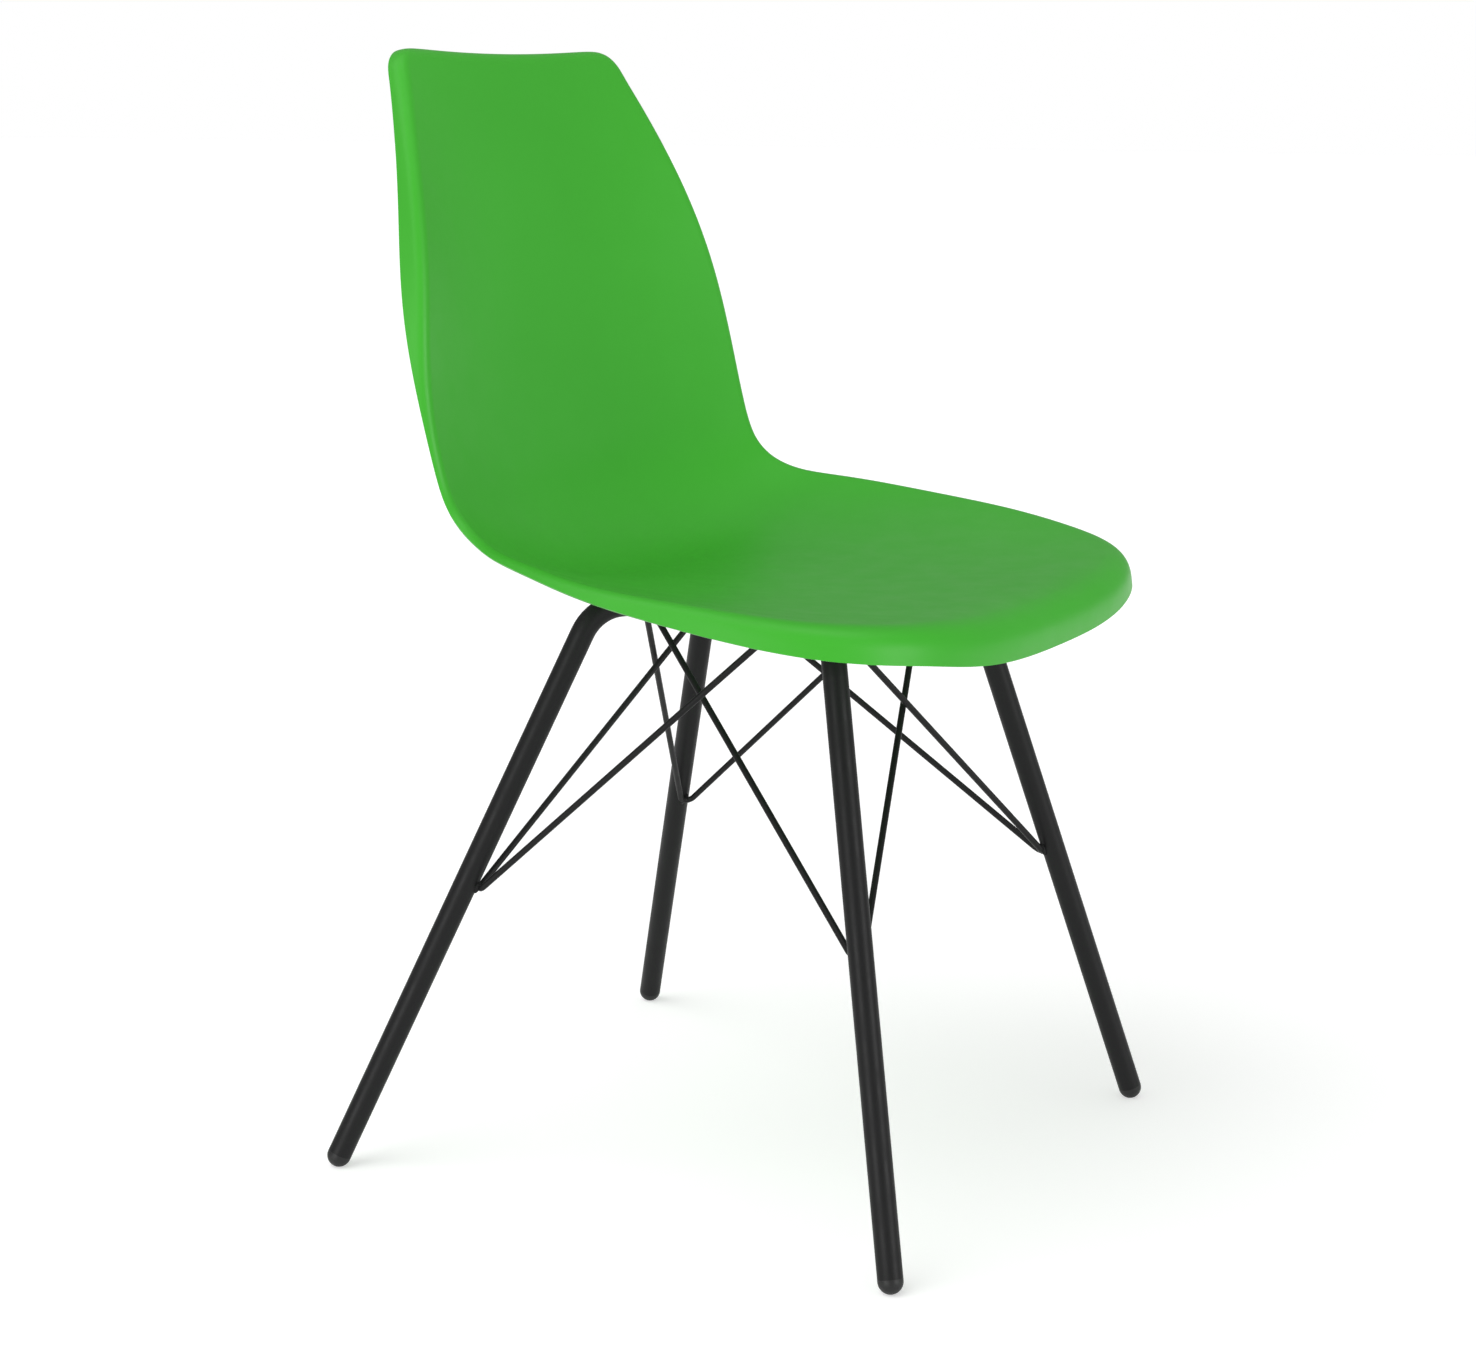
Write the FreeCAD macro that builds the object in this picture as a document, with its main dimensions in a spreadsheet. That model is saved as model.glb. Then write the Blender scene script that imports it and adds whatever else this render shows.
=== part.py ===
"""Moulded plastic shell chair on a bent tube frame with crossed brace wires.

Millimetres. The origin is on the floor under the middle of the chair, +Z is up, the front of
the chair faces -Y and the sitter's left is +X.
"""
import FreeCAD, Part
import math
import os

import Sketcher
from FreeCAD import Placement, Rotation, Vector

UP = Vector(0, 0, 1)
ALONG_X = Vector(1, 0, 0)
LEFT_AND_RIGHT = (("left", 1), ("right", -1))
SOCKET_SIDE_COUNT = 6

# Driving sizes, one sheet row each: alias, value, what it is
SIZES = (
    ("tube_diameter", 18.0, "outer diameter of the frame tube"),
    ("tube_wall", 1.5, "wall of the frame tube"),
    ("arm_height", 421.0, "height of the axis of the arms under the seat"),
    ("leg_bend_radius", 34.0, "bend between leg and arm, on the axis"),
    ("apex_bend_radius", 40.0, "bend where the two arms of a hoop meet, on the axis"),
    ("front_foot_half_width", 212.4, "front foot from the middle plane"),
    ("front_foot_reach", 223.9, "front foot forward of the origin"),
    ("rear_foot_half_width", 221.9, "rear foot from the middle plane"),
    ("rear_foot_reach", 238.1, "rear foot behind the origin"),
    ("front_knee_half_width", 112.3, "axis of front leg where it meets the arm height"),
    ("front_knee_reach", 122.2, "the same, forward of the origin"),
    ("rear_knee_half_width", 83.7, "axis of rear leg where it meets the arm height"),
    ("rear_knee_reach", 92.5, "the same, behind the origin"),
    ("front_apex_reach", 55.0, "corner of the front arms' axes, forward of the origin"),
    ("rear_apex_reach", 32.2, "corner of the rear arms' axes, behind the origin"),
    ("wire_diameter", 4.8, "brace wire"),
    ("wire_bend_radius", 6.0, "bend at the point of a brace wire, on its axis"),
    ("brace_height", 216.0, "height where a brace wire touches its leg"),
    ("front_weld_distance", 48.0, "wire's end from the front knee, along the arm"),
    ("rear_weld_distance", 43.0, "wire ends from the rear knee, along the arm"),
    ("tab_weld_turn", 12.0, "wire's end under a front tab, ahead of the screw's side, in degrees"),
    ("weld_sink", 0.3, "depth of a wire's point in its leg before it is cut to the tube"),
    ("weld_side_aside", 0.75, "end of a wire along the side, beside its arm's axis, of the radius"),
    ("weld_side_below", 0.5, "the same, below the axis"),
    ("weld_upper_aside", 0.92, "upper crossing wire's end beside its arm's axis, of the radius"),
    ("weld_upper_below", 0.2, "the same, below the axis"),
    ("weld_lower_aside", 0.04, "lower crossing wire's end beside its arm's axis, of the radius"),
    ("weld_lower_below", 0.92, "the same, below the axis"),
    ("foot_flat", 0.5, "depth cut flat under a foot's dome"),
    ("foot_collar", 1.5, "straight part of a foot above its dome"),
    ("foot_plug_length", 18.0, "part of a foot inside the tube"),
    ("foot_plug_clearance", 0.1, "gap between plug and bore, on the radius"),
    ("lug_thickness", 3.0, "steel tab on an arm"),
    ("lug_width", 28.0, "width of a tab"),
    ("lug_rise", 4.0, "top of a tab above the axis of its arm"),
    ("front_screw_half_width", 109.5, "front seat screws from the middle plane"),
    ("front_screw_reach", 75.0, "front seat screws forward of the origin"),
    ("rear_screw_half_width", 70.0, "rear seat screws from the middle plane"),
    ("rear_screw_reach", 56.6, "rear seat screws behind the origin"),
    ("screw_diameter", 6.0, "seat screw"),
    ("screw_clearance", 0.3, "gap round a screw in tab, washers and pad, on the radius"),
    ("thread_clearance", 0.05, "gap between screw and insert, on the radius"),
    ("thread_engagement", 7.0, "length of screw in the insert"),
    ("screw_head_diameter", 11.0, "button head"),
    ("screw_head_height", 3.3, "button head"),
    ("socket_width", 4.0, "hexagon socket, across the flats"),
    ("socket_depth", 2.0, "hexagon socket"),
    ("washer_diameter", 16.0, "flat washer"),
    ("washer_thickness", 1.6, "flat washer"),
    ("spring_washer_diameter", 11.8, "split washer"),
    ("spring_washer_thickness", 1.6, "split washer"),
    ("spring_washer_gap", 1.2, "slit of the split washer"),
    ("pad_diameter", 22.0, "rubber pad"),
    ("pad_thickness", 5.0, "rubber pad"),
    ("boss_diameter", 20.0, "boss under the seat"),
    ("insert_diameter", 9.0, "threaded insert"),
    ("insert_length", 10.0, "threaded insert"),
    ("shell_thickness", 4.0, "wall of the shell"),
    ("boss_root", 1.5, "depth from the seat's face to the top of a boss inside the wall"),
    ("seat_rise", 14.0, "lowest point of the seat's face, above the rubber pads"),
    ("seat_low_reach", 71.6, "the same point, behind the origin"),
    ("hip_bend_radius", 89.0, "bend between seat and back, on the middle line"),
    ("back_lean", 9.3, "back from upright where the bend ends, in degrees"),
    ("back_curve_radius", 5200.0, "the back's slow backward curve"),
    ("seat_curve_radius", 12500.0, "the seat's slow upward curve to the front"),
    ("seat_flat_length", 281.0, "seat from its low point to the front roll"),
    ("front_roll_radius", 80.0, "front roll, on the middle line"),
    ("seat_length", 303.0, "seat from its low point to the front edge of the face"),
    ("back_length", 431.0, "back from the seat's low point to its top, along the face"),
    ("top_corner_radius", 17.0, "corner of the back's top"),
    ("top_dip", 4.2, "hollow of the back's top edge"),
    ("front_corner_length", 166.0, "length of the rounded front, along the face"),
    ("front_squareness", 3.1, "exponent of the rounded front: 2 is an ellipse"),
    ("dish_power", 2.3, "how late the face rises towards its sides"),
    ("spine_top_inset", 60.0, "start of the face's middle line under the top"),
    ("spine_front_inset", 120.0, "end of the face's middle line behind the front"),
)

# The face's sections from the front edge to the top: place along the face as a share of the seat's
# or the back's length, half width, rise of the side over the middle, and the rolled edge's angle,
# straight length and radius
SECTIONS = (
    ("front_edge", -1.00, 233.0, 11.0, 85.0, 8.5, 21.0),
    ("front_roll", -0.76, 233.5, 13.5, 77.0, 10.0, 15.0),
    ("seat_front", -0.52, 245.0, 21.0, 70.0, 10.5, 8.5),
    ("seat_middle", -0.24, 250.0, 30.0, 58.0, 4.0, 7.5),
    ("hip", 0.05, 223.0, 40.0, 53.0, 0.6, 7.5),
    ("bend", 0.24, 209.0, 31.0, 53.0, 0.6, 7.5),
    ("waist", 0.415, 207.5, 25.0, 58.0, 2.0, 7.5),
    ("back_middle", 0.635, 187.5, 27.0, 86.0, 12.0, 7.5),
    ("back_high", 0.83, 162.0, 18.0, 95.0, 7.0, 7.5),
    ("back_top", 1.00, 133.0, 4.0, 88.0, 4.0, 9.0),
)
SECTION_SIZES = ("half_width", "rise", "roll_angle", "roll_length", "roll_radius")

# How finely the shell's surface is sampled
OUTLINE_COUNT = 46
FACE_SHARES = (0.0, 0.14, 0.28, 0.42, 0.56, 0.69, 0.8, 0.89, 0.95, 0.985)
ROLL_SHARES = (0.2, 0.4, 0.6, 0.8, 1.0)
STRAIGHT_SHARES = (0.5, 1.0)
PATCH_COUNT = 4
MARGIN_COUNT = 1
SPLINE_DEGREE = 3

doc = FreeCAD.newDocument("shell_chair")
sheet = doc.addObject("Spreadsheet::Sheet", "sizes")


def fill_sheet():
    """Write every driving size into the sheet, one row each, with its alias."""
    rows = list(SIZES)
    for name, share, *values in SECTIONS:
        rows.append((name + "_place", share, "place of the section along the face"))
        for what, value in zip(SECTION_SIZES, values):
            rows.append((name + "_" + what, value, "section of the face"))
    for row, (alias, value, note) in enumerate(rows, start=1):
        sheet.set("A%d" % row, alias)
        sheet.set("B%d" % row, str(value))
        sheet.set("C%d" % row, note)
        sheet.setAlias("B%d" % row, alias)
    doc.recompute()


def size(alias):
    """Value of one driving size."""
    return float(getattr(sheet, alias))


fill_sheet()


# Small helpers for vectors and document objects

def unit(vector):
    """Copy of a vector with length 1."""
    return Vector(vector).normalize()


def mirrored(point):
    """The point on the other side of the middle plane."""
    return Vector(-point.x, point.y, point.z)


def turn_up_to(direction):
    """Rotation that takes +Z to a direction."""
    return Rotation(UP, direction)


def add_shape(name, shape, placement=None):
    """A sub-part whose shape is computed here from the sheet's sizes."""
    feature = doc.addObject("Part::Feature", name)
    feature.Label = name
    feature.Shape = shape
    if placement:
        feature.Placement = placement
    return feature


def add_cylinder(name, radius, height, placement):
    """A cylinder whose radius and height are expressions on the sheet."""
    cylinder = doc.addObject("Part::Cylinder", name)
    cylinder.setExpression("Radius", radius)
    cylinder.setExpression("Height", height)
    cylinder.Placement = placement
    return cylinder


def add_cut(name, base, tool):
    """Base less tool."""
    cut = doc.addObject("Part::Cut", name)
    cut.Base = base
    cut.Tool = tool
    return cut


def add_fuse(name, pieces):
    """Several shapes joined into one."""
    fuse = doc.addObject("Part::MultiFuse", name)
    fuse.Shapes = pieces
    return fuse


def add_group(name, pieces):
    """Several separate solids under one label."""
    group = doc.addObject("Part::Compound", name)
    group.Links = pieces
    return group


def origin_plane(body, role):
    """One of a body's own origin planes."""
    return next(item for item in body.Origin.OriginFeatures if item.Role == role)


def add_sketch(body, name, role):
    """An empty sketch on one of the body's origin planes."""
    sketch = body.newObject("Sketcher::SketchObject", name)
    sketch.AttachmentSupport = [(origin_plane(body, role), "")]
    sketch.MapMode = "FlatFace"
    return sketch


def draw_polygon(sketch, corners):
    """Closed outline through corner points, each corner joined to the next."""
    points = [Vector(x, y, 0) for x, y in corners]
    count = len(points)
    for index, start in enumerate(points):
        sketch.addGeometry(Part.LineSegment(start, points[(index + 1) % count]), False)
    for index in range(count):
        sketch.addConstraint(Sketcher.Constraint("Coincident", index, 2, (index + 1) % count, 1))


def bind_circle(sketch, diameter):
    """A circle about the sketch's origin, its diameter bound to the sheet."""
    circle = Part.Circle(Vector(0, 0, 0), UP, UP.Length)
    index = sketch.addGeometry(circle, False)
    sketch.addConstraint(Sketcher.Constraint("Coincident", index, 3, -1, 1))
    constraint = sketch.addConstraint(Sketcher.Constraint("Diameter", index, 2 * UP.Length))
    sketch.setExpression("Constraints[%d]" % constraint, diameter)


def add_disc(name, diameter, thickness):
    """A round body standing on its own XY plane, sizes bound to the sheet."""
    body = doc.addObject("PartDesign::Body", name)
    outline = add_sketch(body, name + "_outline", "XY_Plane")
    bind_circle(outline, diameter)
    pad = body.newObject("PartDesign::Pad", name + "_pad")
    pad.Profile = outline
    pad.setExpression("Length", thickness)
    outline.Visibility = False
    return body


def add_bore(body, name, diameter, depth=None):
    """A round hole up from the body's XY plane, through it all or to a depth."""
    outline = add_sketch(body, name + "_outline", "XY_Plane")
    bind_circle(outline, diameter)
    bore = body.newObject("PartDesign::Pocket", name)
    bore.Profile = outline
    bore.Reversed = True
    if depth:
        bore.setExpression("Length", depth)
    else:
        bore.Type = "ThroughAll"
    return bore


# Frame: where legs, knees, arms and screws are

def foot_point(end, side):
    """Centre of the dome under a leg."""
    height = size("tube_diameter") / 2 - size("foot_flat")
    reach = -size("front_foot_reach") if end == "front" else size("rear_foot_reach")
    return Vector(side * size(end + "_foot_half_width"), reach, height)


def knee_point(end, side):
    """Corner between the axes of a leg and its arm."""
    reach = -size("front_knee_reach") if end == "front" else size("rear_knee_reach")
    return Vector(side * size(end + "_knee_half_width"), reach, size("arm_height"))


def apex_point(end):
    """Corner between the axes of a hoop's two arms."""
    reach = -size("front_apex_reach") if end == "front" else size("rear_apex_reach")
    return Vector(0, reach, size("arm_height"))


def screw_point(end, side):
    """Centre of a seat screw, on the top face of its tab."""
    reach = -size("front_screw_reach") if end == "front" else size("rear_screw_reach")
    height = size("arm_height") + size("lug_rise")
    return Vector(side * size(end + "_screw_half_width"), reach, height)


def leg_direction(end, side):
    """Unit vector up a leg."""
    return unit(knee_point(end, side) - foot_point(end, side))


def arm_direction(end, side):
    """Unit vector along an arm, from the knee to the middle."""
    return unit(apex_point(end) - knee_point(end, side))


def leg_point_at(end, side, height):
    """Point of a leg's axis at a height."""
    foot = foot_point(end, side)
    direction = leg_direction(end, side)
    return foot + direction * ((height - foot.z) / direction.z)


def rounded_path(corners, radii):
    """Wire of straight runs joined by tangent arcs, one radius for each inner corner."""
    edges = []
    start = corners[0]
    for before, corner, after, radius in zip(corners, corners[1:], corners[2:], radii):
        back = unit(before - corner)
        ahead = unit(after - corner)
        half_angle = back.getAngle(ahead) / 2
        reach = radius / math.tan(half_angle)
        middle_distance = radius / math.sin(half_angle) - radius
        arc_start = corner + back * reach
        arc_end = corner + ahead * reach
        arc_middle = corner + unit(back + ahead) * middle_distance
        edges.append(Part.LineSegment(start, arc_start).toShape())
        edges.append(Part.Arc(arc_start, arc_middle, arc_end).toShape())
        start = arc_end
    edges.append(Part.LineSegment(start, corners[-1]).toShape())
    return Part.Wire(edges)


def round_bar(path, diameter):
    """Solid round bar along a wire of runs and arcs."""
    first = path.Edges[0]
    start = first.valueAt(first.FirstParameter)
    direction = first.tangentAt(first.FirstParameter)
    ring = Part.Wire([Part.Circle(start, direction, diameter / 2).toShape()])
    return path.makePipeShell([ring], True, False)


def hoop_corners(end):
    """Corners of a hoop's axis from the left foot over both arms to the right foot."""
    collar = size("foot_collar")
    left_end = foot_point(end, 1) + leg_direction(end, 1) * collar
    right_end = foot_point(end, -1) + leg_direction(end, -1) * collar
    return [left_end, knee_point(end, 1), apex_point(end), knee_point(end, -1), right_end]


def hoop_bar(end):
    """The hoop as a solid bar, used to make its tube and to cut what is welded to it."""
    knee = size("leg_bend_radius")
    radii = [knee, size("apex_bend_radius"), knee]
    return round_bar(rounded_path(hoop_corners(end), radii), size("tube_diameter"))


def hoop_tube(end):
    """The hoop as a bent tube."""
    knee = size("leg_bend_radius")
    radii = [knee, size("apex_bend_radius"), knee]
    bore = size("tube_diameter") - 2 * size("tube_wall")
    inside = round_bar(rounded_path(hoop_corners(end), radii), bore)
    return hoop_bar(end).cut(inside)


BARS = {end: hoop_bar(end) for end in ("front", "rear")}


def make_hoops():
    """Front and rear hoop."""
    return [add_shape(end + "_hoop", hoop_tube(end)) for end in ("front", "rear")]


def apex_middle(end):
    """Where a hoop's axis crosses the middle plane, on its apex bend."""
    corner = apex_point(end)
    to_knee = unit(knee_point(end, 1) - corner)
    half_angle = to_knee.getAngle(unit(knee_point(end, -1) - corner)) / 2
    away = size("apex_bend_radius") * (1 / math.sin(half_angle) - 1)
    return corner + unit(Vector(0, to_knee.y, 0)) * away


def make_centre_tie():
    """Short tube between the hoops, its ends cut to fit them."""
    front = apex_middle("front")
    rear = apex_middle("rear")
    placement = Placement(front, turn_up_to(rear - front))
    tie = doc.addObject("Part::Cylinder", "tie_outside")
    tie.setExpression("Radius", "sizes.tube_diameter / 2")
    tie.Height = (rear - front).Length
    tie.Placement = placement
    bore = doc.addObject("Part::Cylinder", "tie_bore")
    bore.setExpression("Radius", "sizes.tube_diameter / 2 - sizes.tube_wall")
    bore.Height = (rear - front).Length
    bore.Placement = placement
    tube = add_cut("tie_tube", tie, bore)
    hoops = add_group("tie_cutters", [add_shape("tie_cutter_" + end, BARS[end]) for end in BARS])
    cut = add_cut("centre_tie", tube, hoops)
    cut.Label = "centre_tie"
    return cut


# Brace wires

def weld_point(end, side, from_point, aside_share, below_share):
    """End of a brace wire in an arm, on the side that the wire comes from."""
    direction = arm_direction(end, side)
    across = unit(direction.cross(UP))
    knee = knee_point(end, side)
    if across.dot(from_point - knee) < 0:
        across = across * -1
    radius = size("tube_diameter") / 2
    along = direction * size(end + "_weld_distance")
    return knee + along + across * (radius * aside_share) - UP * (radius * below_share)


def tab_weld_point(side):
    """End of a side's wire in a front tab, midway between its flat washer and its edge."""
    away = (size("washer_diameter") + size("lug_width")) / 4
    turn = math.radians(size("tab_weld_turn"))
    shift = Vector(side * away * math.cos(turn), -away * math.sin(turn), -size("lug_thickness") / 2)
    return screw_point("front", side) + shift


def weld_shares(level):
    """How far a wire's end is beside and below its arm's axis, as shares of the tube's radius."""
    return size("weld_%s_aside" % level), size("weld_%s_below" % level)


def brace_path(end, side):
    """Axis of the V-bent wire whose point is welded to one leg."""
    radius = size("tube_diameter") / 2
    on_axis = leg_point_at(end, side, size("brace_height"))
    if end == "front":
        along_side = weld_point("rear", side, on_axis, *weld_shares("side"))
    else:
        along_side = tab_weld_point(side)
    level = "upper" if side > 0 else "lower"
    across = weld_point(end, -side, on_axis, *weld_shares(level))
    leg = leg_direction(end, side)
    inward = (along_side + across) * 0.5 - on_axis
    inward = unit(inward - leg * inward.dot(leg))
    reach = radius + size("wire_diameter") / 2 - size("weld_sink")
    touch = on_axis + inward * reach
    to_side = unit(along_side - touch)
    to_across = unit(across - touch)
    half_angle = to_side.getAngle(to_across) / 2
    bend = size("wire_bend_radius")
    corner = touch - unit(to_side + to_across) * (bend / math.sin(half_angle) - bend)
    return rounded_path([along_side, corner, across], [bend])


def make_braces():
    """Four brace wires, cut to fit the tubes and the front tabs that they are welded to."""
    base = UP * size("lug_thickness")
    tabs = [Part.makeCylinder(size("lug_width") / 2, size("lug_thickness"),
                              screw_point("front", side) - base) for _, side in LEFT_AND_RIGHT]
    made = []
    for end in ("front", "rear"):
        for word, side in LEFT_AND_RIGHT:
            name = "%s_%s_brace" % (end, word)
            wire = round_bar(brace_path(end, side), size("wire_diameter"))
            for joined in list(BARS.values()) + tabs:
                wire = wire.cut(joined)
            made.append(add_shape(name, max(wire.Solids, key=lambda solid: solid.Volume)))
    return made


# Feet

def make_feet():
    """Four push-in caps: plug, collar and a dome cut flat at the floor."""
    made = []
    for end in ("front", "rear"):
        for word, side in LEFT_AND_RIGHT:
            name = "%s_%s_foot" % (end, word)
            centre = foot_point(end, side)
            place = Placement(centre, turn_up_to(leg_direction(end, side)))
            ball = doc.addObject("Part::Sphere", name + "_ball")
            ball.setExpression("Radius", "sizes.tube_diameter / 2")
            ball.Placement.Base = centre
            below = add_cylinder(name + "_below", "sizes.tube_diameter", "sizes.tube_diameter",
                                 Placement(centre, turn_up_to(leg_direction(end, side) * -1)))
            dome = doc.addObject("Part::Common", name + "_dome")
            dome.Base = ball
            dome.Tool = below
            collar = add_cylinder(name + "_collar", "sizes.tube_diameter / 2",
                                  "sizes.foot_collar", place)
            plug_radius = "sizes.tube_diameter / 2 - sizes.tube_wall - sizes.foot_plug_clearance"
            plug = add_cylinder(name + "_plug", plug_radius,
                                "sizes.foot_collar + sizes.foot_plug_length", place)
            whole = add_fuse(name + "_whole", [dome, collar, plug])
            floor = doc.addObject("Part::Box", name + "_floor")
            for side_name in ("Length", "Width", "Height"):
                floor.setExpression(side_name, "sizes.tube_diameter * 2")
            reach = size("tube_diameter")
            floor.Placement.Base = Vector(centre.x - reach, centre.y - reach, -2 * reach)
            foot = add_cut(name, whole, floor)
            foot.Label = name
            made.append(foot)
    return made


# Tabs, pads and fasteners

def lug_placement(end, side):
    """Frame of a tab: origin under its screw, +Y straight to its arm."""
    screw = screw_point(end, side)
    knee = knee_point(end, side)
    direction = arm_direction(end, side)
    foot = knee + direction * (screw - knee).dot(direction)
    to_arm = Vector(foot.x - screw.x, foot.y - screw.y, 0)
    base = screw - UP * size("lug_thickness")
    return Placement(base, Rotation(Vector(), to_arm, UP, "ZYX")), to_arm.Length


def make_lugs():
    """Four steel tabs, each with a round end about its screw and its other end on the arm."""
    made = []
    for end in ("front", "rear"):
        for word, side in LEFT_AND_RIGHT:
            name = "%s_%s_lug" % (end, word)
            placement, reach = lug_placement(end, side)
            body = add_disc(name + "_eye", "sizes.lug_width", "sizes.lug_thickness")
            tongue = add_sketch(body, name + "_tongue_outline", "XY_Plane")
            half = size("lug_width") / 2
            draw_polygon(tongue, ((-half, 0), (half, 0), (half, reach), (-half, reach)))
            pad = body.newObject("PartDesign::Pad", name + "_tongue")
            pad.Profile = tongue
            pad.setExpression("Length", "sizes.lug_thickness")
            add_bore(body, name + "_hole", "sizes.screw_diameter + 2 * sizes.screw_clearance")
            body.Placement = placement
            cutter = add_shape(name + "_cutter", BARS[end])
            lug = add_cut(name, body, cutter)
            lug.Label = name
            made.append(lug)
    return made


def screw_places(offset):
    """Placements under or over the four seat screws' points, by a height from the tabs' top."""
    return [(end, word, Placement(screw_point(end, side) + UP * offset, Rotation()))
            for end in ("front", "rear") for word, side in LEFT_AND_RIGHT]


def make_pads():
    """Four rubber pads on the tabs."""
    made = []
    for end, word, place in screw_places(0):
        name = "%s_%s_pad" % (end, word)
        body = add_disc(name, "sizes.pad_diameter", "sizes.pad_thickness")
        add_bore(body, name + "_hole", "sizes.screw_diameter + 2 * sizes.screw_clearance")
        body.Label = name
        body.Placement = place
        made.append(body)
    return made


def make_inserts():
    """Four threaded inserts, open below, in the bosses over the pads."""
    pieces = []
    for end, word, place in screw_places(size("pad_thickness")):
        body = add_disc("insert_%s_%s" % (end, word), "sizes.insert_diameter", "sizes.insert_length")
        add_bore(body, "insert_%s_%s_bore" % (end, word),
                 "sizes.screw_diameter + 2 * sizes.thread_clearance")
        body.Placement = place
        pieces.append(body)
    group = add_group("threaded_inserts", pieces)
    group.Label = "threaded_inserts"
    return group


def make_flat_washers():
    """Four flat washers under the tabs."""
    pieces = []
    for end, word, place in screw_places(-size("lug_thickness") - size("washer_thickness")):
        name = "washer_%s_%s" % (end, word)
        body = add_disc(name, "sizes.washer_diameter", "sizes.washer_thickness")
        add_bore(body, name + "_hole", "sizes.screw_diameter + 2 * sizes.screw_clearance")
        body.Placement = place
        pieces.append(body)
    group = add_group("flat_washers", pieces)
    group.Label = "flat_washers"
    return group


def make_spring_washers():
    """Four split washers between the flat washers and the screw heads."""
    pieces = []
    below = size("lug_thickness") + size("washer_thickness") + size("spring_washer_thickness")
    for end, word, place in screw_places(-below):
        name = "spring_washer_%s_%s" % (end, word)
        body = add_disc(name + "_ring", "sizes.spring_washer_diameter",
                        "sizes.spring_washer_thickness")
        add_bore(body, name + "_hole", "sizes.screw_diameter + 2 * sizes.screw_clearance")
        body.Placement = place
        slit = doc.addObject("Part::Box", name + "_slit")
        slit.setExpression("Length", "sizes.spring_washer_diameter")
        slit.setExpression("Width", "sizes.spring_washer_gap")
        slit.setExpression("Height", "sizes.spring_washer_thickness")
        shift = Vector(0, -size("spring_washer_gap") / 2, 0)
        slit.Placement = Placement(place.Base + shift, Rotation())
        pieces.append(add_cut(name, body, slit))
    group = add_group("spring_washers", pieces)
    group.Label = "spring_washers"
    return group


def make_screws():
    """Four button head screws, from under the split washers up into the inserts."""
    pieces = []
    under = size("lug_thickness") + size("washer_thickness") + size("spring_washer_thickness")
    for end, word, place in screw_places(-under - size("screw_head_height")):
        name = "screw_%s_%s" % (end, word)
        body = add_disc(name, "sizes.screw_head_diameter", "sizes.screw_head_height")
        shank_outline = add_sketch(body, name + "_shank_outline", "XY_Plane")
        bind_circle(shank_outline, "sizes.screw_diameter")
        shank = body.newObject("PartDesign::Pad", name + "_shank")
        shank.Profile = shank_outline
        shank.setExpression("Length", "sizes.screw_head_height + sizes.spring_washer_thickness"
                            " + sizes.washer_thickness + sizes.lug_thickness"
                            " + sizes.pad_thickness + sizes.thread_engagement")
        doc.recompute()
        socket_outline = add_sketch(body, name + "_socket_outline", "XY_Plane")
        corner = size("socket_width") / 2 / math.cos(math.pi / SOCKET_SIDE_COUNT)
        turns = [2 * math.pi * step / SOCKET_SIDE_COUNT for step in range(SOCKET_SIDE_COUNT)]
        draw_polygon(socket_outline, [(corner * math.cos(turn), corner * math.sin(turn))
                                      for turn in turns])
        socket = body.newObject("PartDesign::Pocket", name + "_socket")
        socket.Profile = socket_outline
        socket.Reversed = True
        socket.setExpression("Length", "sizes.socket_depth")
        body.Placement = place
        pieces.append(body)
    group = add_group("seat_screws", pieces)
    group.Label = "seat_screws"
    return group


# Shell: the middle line, the outline round the face and the rolled edge

class SmoothCurve:
    """Natural cubic curve through (place, value) pairs, straight beyond its ends."""

    def __init__(self, places, values):
        self.places = places
        self.values = values
        self.bends = self.solve_bends()

    def solve_bends(self):
        """Second derivatives at the places, by one sweep down and one back."""
        x = self.places
        v = self.values
        count = len(x)
        ratio = [0.0] * count
        part = [0.0] * count
        for i in range(1, count - 1):
            left = x[i] - x[i - 1]
            right = x[i + 1] - x[i]
            step = (v[i + 1] - v[i]) / right - (v[i] - v[i - 1]) / left
            pivot = 2 * (left + right) - left * ratio[i - 1]
            ratio[i] = right / pivot
            part[i] = (6 * step - left * part[i - 1]) / pivot
        bends = [0.0] * count
        for i in range(count - 2, 0, -1):
            bends[i] = part[i] - ratio[i] * bends[i + 1]
        return bends

    def at(self, place):
        """Value at a place."""
        x = self.places
        v = self.values
        m = self.bends
        last = len(x) - 1
        i = 0
        while i < last - 1 and place > x[i + 1]:
            i += 1
        width = x[i + 1] - x[i]
        a = (x[i + 1] - place) / width
        b = (place - x[i]) / width
        if place < x[0]:
            slope = (v[1] - v[0]) / width - width * m[1] / 6
            return v[0] + slope * (place - x[0])
        if place > x[last]:
            slope = (v[last] - v[last - 1]) / width + width * m[last - 1] / 6
            return v[last] + slope * (place - x[last])
        bend = ((a ** 3 - a) * m[i] + (b ** 3 - b) * m[i + 1]) * width * width / 6
        return a * v[i] + b * v[i + 1] + bend


def section_curve(what):
    """Smooth course of one section size along the face."""
    places = []
    values = []
    for name, *_ in SECTIONS:
        share = size(name + "_place")
        places.append(share * (size("seat_length") if share < 0 else size("back_length")))
        values.append(size(name + "_" + what))
    return SmoothCurve(places, values)


CURVES = {what: section_curve(what) for what in SECTION_SIZES}


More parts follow.
